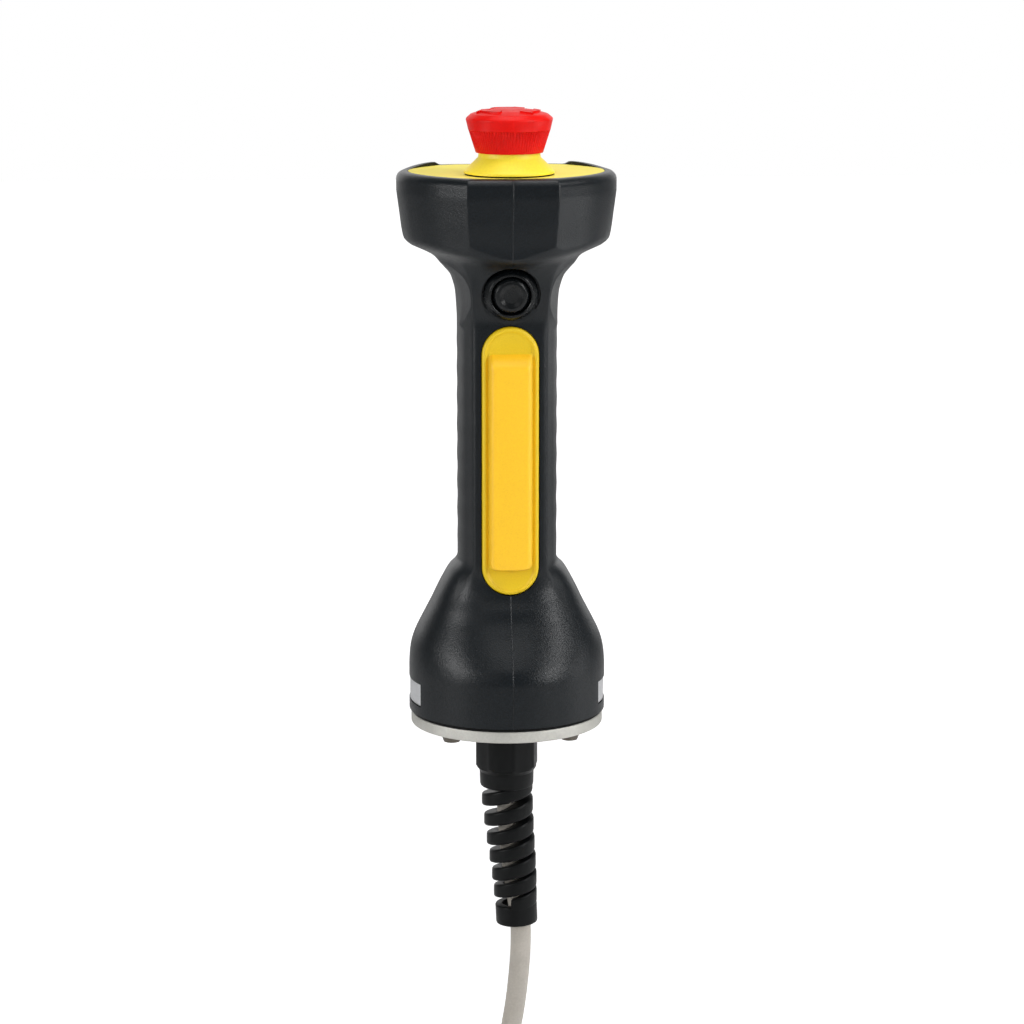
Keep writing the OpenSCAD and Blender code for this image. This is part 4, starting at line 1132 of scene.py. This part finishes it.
def coil_line():
    """Columns of turns: the outermost wound downwards, the next upwards, and so on inwards."""
    out = []
    radius = COIL_D / 2 + COIL_PITCH * (len(COIL_TURNS) - 1) / 2
    angle = radians(COIL_START)
    step = radians(COIL_STEP)
    z = COIL_TOP
    for column, turns in enumerate(COIL_TURNS):
        fall = -1 if column % 2 == 0 else 1
        count = round(2 * pi * turns / step)
        for k in range(count + 1):
            out.append((radius, angle + step * k, z + fall * COIL_PITCH * k * step / (2 * pi)))
        angle += step * count
        z += fall * COIL_PITCH * turns
        if column < len(COIL_TURNS) - 1:
            n = round(COIL_CROSSING / COIL_STEP)
            for k in range(1, n):
                out.append((radius - COIL_PITCH * smoothstep(k / n), angle + step * k, z))
            angle += step * n
            radius -= COIL_PITCH
    return [COIL_AT + Vector(polar(r, a, z)) for r, a, z in out]


def build_tie(coil):
    """A band drawn round all turns of the coil where they pass one angle."""
    turn = radians(TIE_ANGLE)
    out = Vector((cos(turn), sin(turn), 0))
    along = Vector((-sin(turn), cos(turn), 0))
    strands = []
    for p, q in zip(coil, coil[1:]):
        r = (p - COIL_AT).dot(out)
        if r > 0 and (p - COIL_AT).dot(along) <= 0 < (q - COIL_AT).dot(along):
            strands.append(Vector((r, p.z)))
    rows = []
    for thick, side in ((0, -1), (0, 1), (TIE_T, 1), (TIE_T, -1)):
        ring = []
        for k in range(TIE_STEPS):
            a = 2 * pi * k / TIE_STEPS
            way = Vector((cos(a), sin(a)))
            p = max(strands, key=way.dot) + way * (CORD_D / 2 + TIE_PLAY + thick)
            ring.append(COIL_AT + out * p.x + along * side * TIE_W / 2 + Vector((0, 0, p.y)))
        rows.append(ring)
    return piece("cord_tie_skin", *skin(rows), "housing", "black_plastic", ["cord_tie"])


def build_cord():
    coil = coil_line()
    tail = [COIL_AT + Vector(p) for p in TAIL]
    line = through([*LEAD, coil[0]])[:-1] + coil + through([coil[-1], *tail])[1:]
    curve = bpy.data.curves.new("cable", "CURVE")
    curve.dimensions = "3D"
    curve.bevel_depth = CORD_D / 2 * MM
    curve.bevel_resolution = CORD_RESOLUTION
    curve.use_fill_caps = True
    strand = curve.splines.new("POLY")
    strand.points.add(len(line) - 1)
    for point, p in zip(strand.points, line):
        point.co = (*(p * MM), 1)
    strand.use_smooth = True
    curve.materials.append(MATERIALS["cord_sheath"])
    cable = new_object("cable", curve)
    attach(cable, "housing")
    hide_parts("cord_lead", "cord_coil", "cord_tail")
    build_tie(coil)


# Camera: a long lens that looks slightly down and from a little to the object's left
AIM = (1.9, 0.0, -21.4)
CAMERA_DISTANCE = 1120.0
CAMERA_AZIMUTH = -4.0
CAMERA_ELEVATION = 11.3
CAMERA_LENS = 112.5
CAMERA_SENSOR = 36.0
CAMERA_CLIP = (0.05, 20.0)  # metres


def direction(azimuth, elevation):
    """The way to a place so far to the viewer's right of the front and so far up."""
    a, e = radians(azimuth), radians(elevation)
    return Vector((sin(a) * cos(e), -cos(a) * cos(e), sin(e)))


def look_at(obj, target):
    obj.rotation_mode = "QUATERNION"
    obj.rotation_quaternion = (Vector(target) * MM - obj.location).to_track_quat("-Z", "Y")


def build_camera():
    camera = new_object("camera", bpy.data.cameras.new("camera"))
    camera.data.lens = CAMERA_LENS
    camera.data.sensor_width = CAMERA_SENSOR
    camera.data.clip_start, camera.data.clip_end = CAMERA_CLIP
    camera.data.dof.use_dof = False
    camera.location = (Vector(AIM) + direction(CAMERA_AZIMUTH, CAMERA_ELEVATION) * CAMERA_DISTANCE) * MM
    look_at(camera, AIM)
    bpy.context.scene.camera = camera


# Stage: soft light from all sides, and in reflections a white backdrop, by how far back rays point
WHITE = (1.0, 1.0, 1.0, 1.0)
AMBIENT = 0.2
BACKDROP = 1.0
BACKDROP_RANGE = (0.62, 0.84)
# Floor, with a white of its own that is weaker near the object, so that its shadow shows; metres
FLOOR_HALF = 4.0
FLOOR_COLOUR = (0.9, 0.9, 0.9, 1.0)
FLOOR_ROUGHNESS = 0.8
GLOW_NEAR = 0.42
GLOW_RANGE = (0.4, 1.0)
# Share of the floor's own white that shows in reflections
MIRROR_GLOW = 0.1
# Lamps: name, degrees to the viewer's right of the front, degrees up, distance, size, watts
LAMP_TARGET = (0.0, 0.0, 10.0)
LAMPS = [
    ("top_light", 0, 87, 900, (500, 500), 3.1),
    ("top_front_light", 0, 53, 1000, (500, 500), 1.2),
    ("front_light", -24, 18, 1150, (400, 600), 0.6),
    ("left_light", -63, 12, 900, (260, 320), 3.1),
    ("left_low_light", -70, -15, 900, (260, 320), 0.2),
    ("right_light", 50, 12, 900, (260, 320), 3.0),
    ("right_high_light", 70, 40, 900, (260, 320), 2.4),
    ("right_low_light", 90, -15, 900, (260, 320), 0.4),
    ("right_facet_light", 84, -2, 500, (120, 140), 0.16),
    ("left_facet_light", -76, -2, 500, (120, 140), 0.03),
    ("left_back_light", -142, -2, 350, (80, 60), 0.011),
    ("right_back_light", 142, -2, 350, (80, 60), 0.013),
]


def background(tree, path, plain, seen):
    """seen for the camera and for mirrored or refracted rays, plain for the light that it gives."""
    shows = path.outputs["Is Camera Ray"]
    for ray in ("Is Glossy Ray", "Is Transmission Ray"):
        shows = arithmetic(tree, "MAXIMUM", shows, path.outputs[ray])
    mix = tree.nodes.new("ShaderNodeMixShader")
    tree.links.new(shows, mix.inputs["Fac"])
    tree.links.new(plain, mix.inputs[1])
    tree.links.new(seen, mix.inputs[2])
    return mix.outputs["Shader"]


def build_world():
    """White for the camera and behind the object, and soft light from all sides."""
    world = bpy.data.worlds.new("studio")
    bpy.context.scene.world = world
    world.use_nodes = True
    tree = world.node_tree
    path = tree.nodes.new("ShaderNodeLightPath")
    plain = tree.nodes["Background"]
    fill(plain, {"Color": WHITE, "Strength": AMBIENT})
    seen = tree.nodes.new("ShaderNodeBackground")
    fill(seen, {"Color": WHITE})
    way = tree.nodes.new("ShaderNodeTexCoord")
    split = tree.nodes.new("ShaderNodeSeparateXYZ")
    tree.links.new(way.outputs["Generated"], split.inputs["Vector"])
    behind = ramp(tree, split.outputs["Y"], *BACKDROP_RANGE, AMBIENT, BACKDROP)
    strength = arithmetic(tree, "MAXIMUM", path.outputs["Is Camera Ray"], behind)
    tree.links.new(strength, seen.inputs["Strength"])
    out = background(tree, path, plain.outputs["Background"], seen.outputs["Background"])
    tree.links.new(out, tree.nodes["World Output"].inputs["Surface"])


def floor_material():
    material, tree, shader = new_material("floor_white")
    fill(shader, {"Base Color": FLOOR_COLOUR, "Roughness": FLOOR_ROUGHNESS})
    path = tree.nodes.new("ShaderNodeLightPath")
    glow = tree.nodes.new("ShaderNodeEmission")
    fill(glow, {"Color": WHITE})
    place = tree.nodes.new("ShaderNodeNewGeometry")
    reach = tree.nodes.new("ShaderNodeVectorMath")
    reach.operation = "LENGTH"
    tree.links.new(place.outputs["Position"], reach.inputs[0])
    near = ramp(tree, reach.outputs["Value"], *GLOW_RANGE, GLOW_NEAR, 1.0)
    share = ramp(tree, path.outputs["Is Camera Ray"], 0.0, 1.0, MIRROR_GLOW, 1.0)
    tree.links.new(arithmetic(tree, "MULTIPLY", near, share), glow.inputs["Strength"])
    seen = tree.nodes.new("ShaderNodeAddShader")
    tree.links.new(shader.outputs["BSDF"], seen.inputs[0])
    tree.links.new(glow.outputs["Emission"], seen.inputs[1])
    out = background(tree, path, shader.outputs["BSDF"], seen.outputs["Shader"])
    tree.links.new(out, tree.nodes["Material Output"].inputs["Surface"])
    return material


def build_floor():
    half, z = FLOOR_HALF, FLOOR * MM
    mesh = bpy.data.meshes.new("floor")
    corners = [(-half, -half, z), (half, -half, z), (half, half, z), (-half, half, z)]
    mesh.from_pydata(corners, [], [(0, 1, 2, 3)])
    mesh.materials.append(floor_material())
    new_object("floor", mesh)


def softbox(name, at, size, power):
    lamp = bpy.data.lights.new(name, "AREA")
    lamp.shape = "RECTANGLE"
    lamp.size, lamp.size_y = size[0] * MM, size[1] * MM
    lamp.energy = power
    obj = new_object(name, lamp)
    obj.location = at * MM
    look_at(obj, LAMP_TARGET)
    obj.visible_camera = False


def build_stage():
    bpy.context.scene.view_settings.view_transform = "Standard"
    build_world()
    build_floor()
    for name, azimuth, height, distance, size, power in LAMPS:
        softbox(name, direction(azimuth, height) * distance, size, power)


def finish_cad_nodes():
    """Carried CAD nodes take the finish of their material slot."""
    for row in frame["record"]["subparts"]:
        node = frame["nodes"][row["node"]]
        if node.hide_render:
            continue
        node.data.materials.clear()
        node.data.materials.append(MATERIALS[row["material_slot"]])


build_camera()
build_cord()
build_housing()
build_labels()
build_top_plate()
build_stop()
build_button()
build_trigger()
build_base()
build_gland()
finish_cad_nodes()
build_stage()
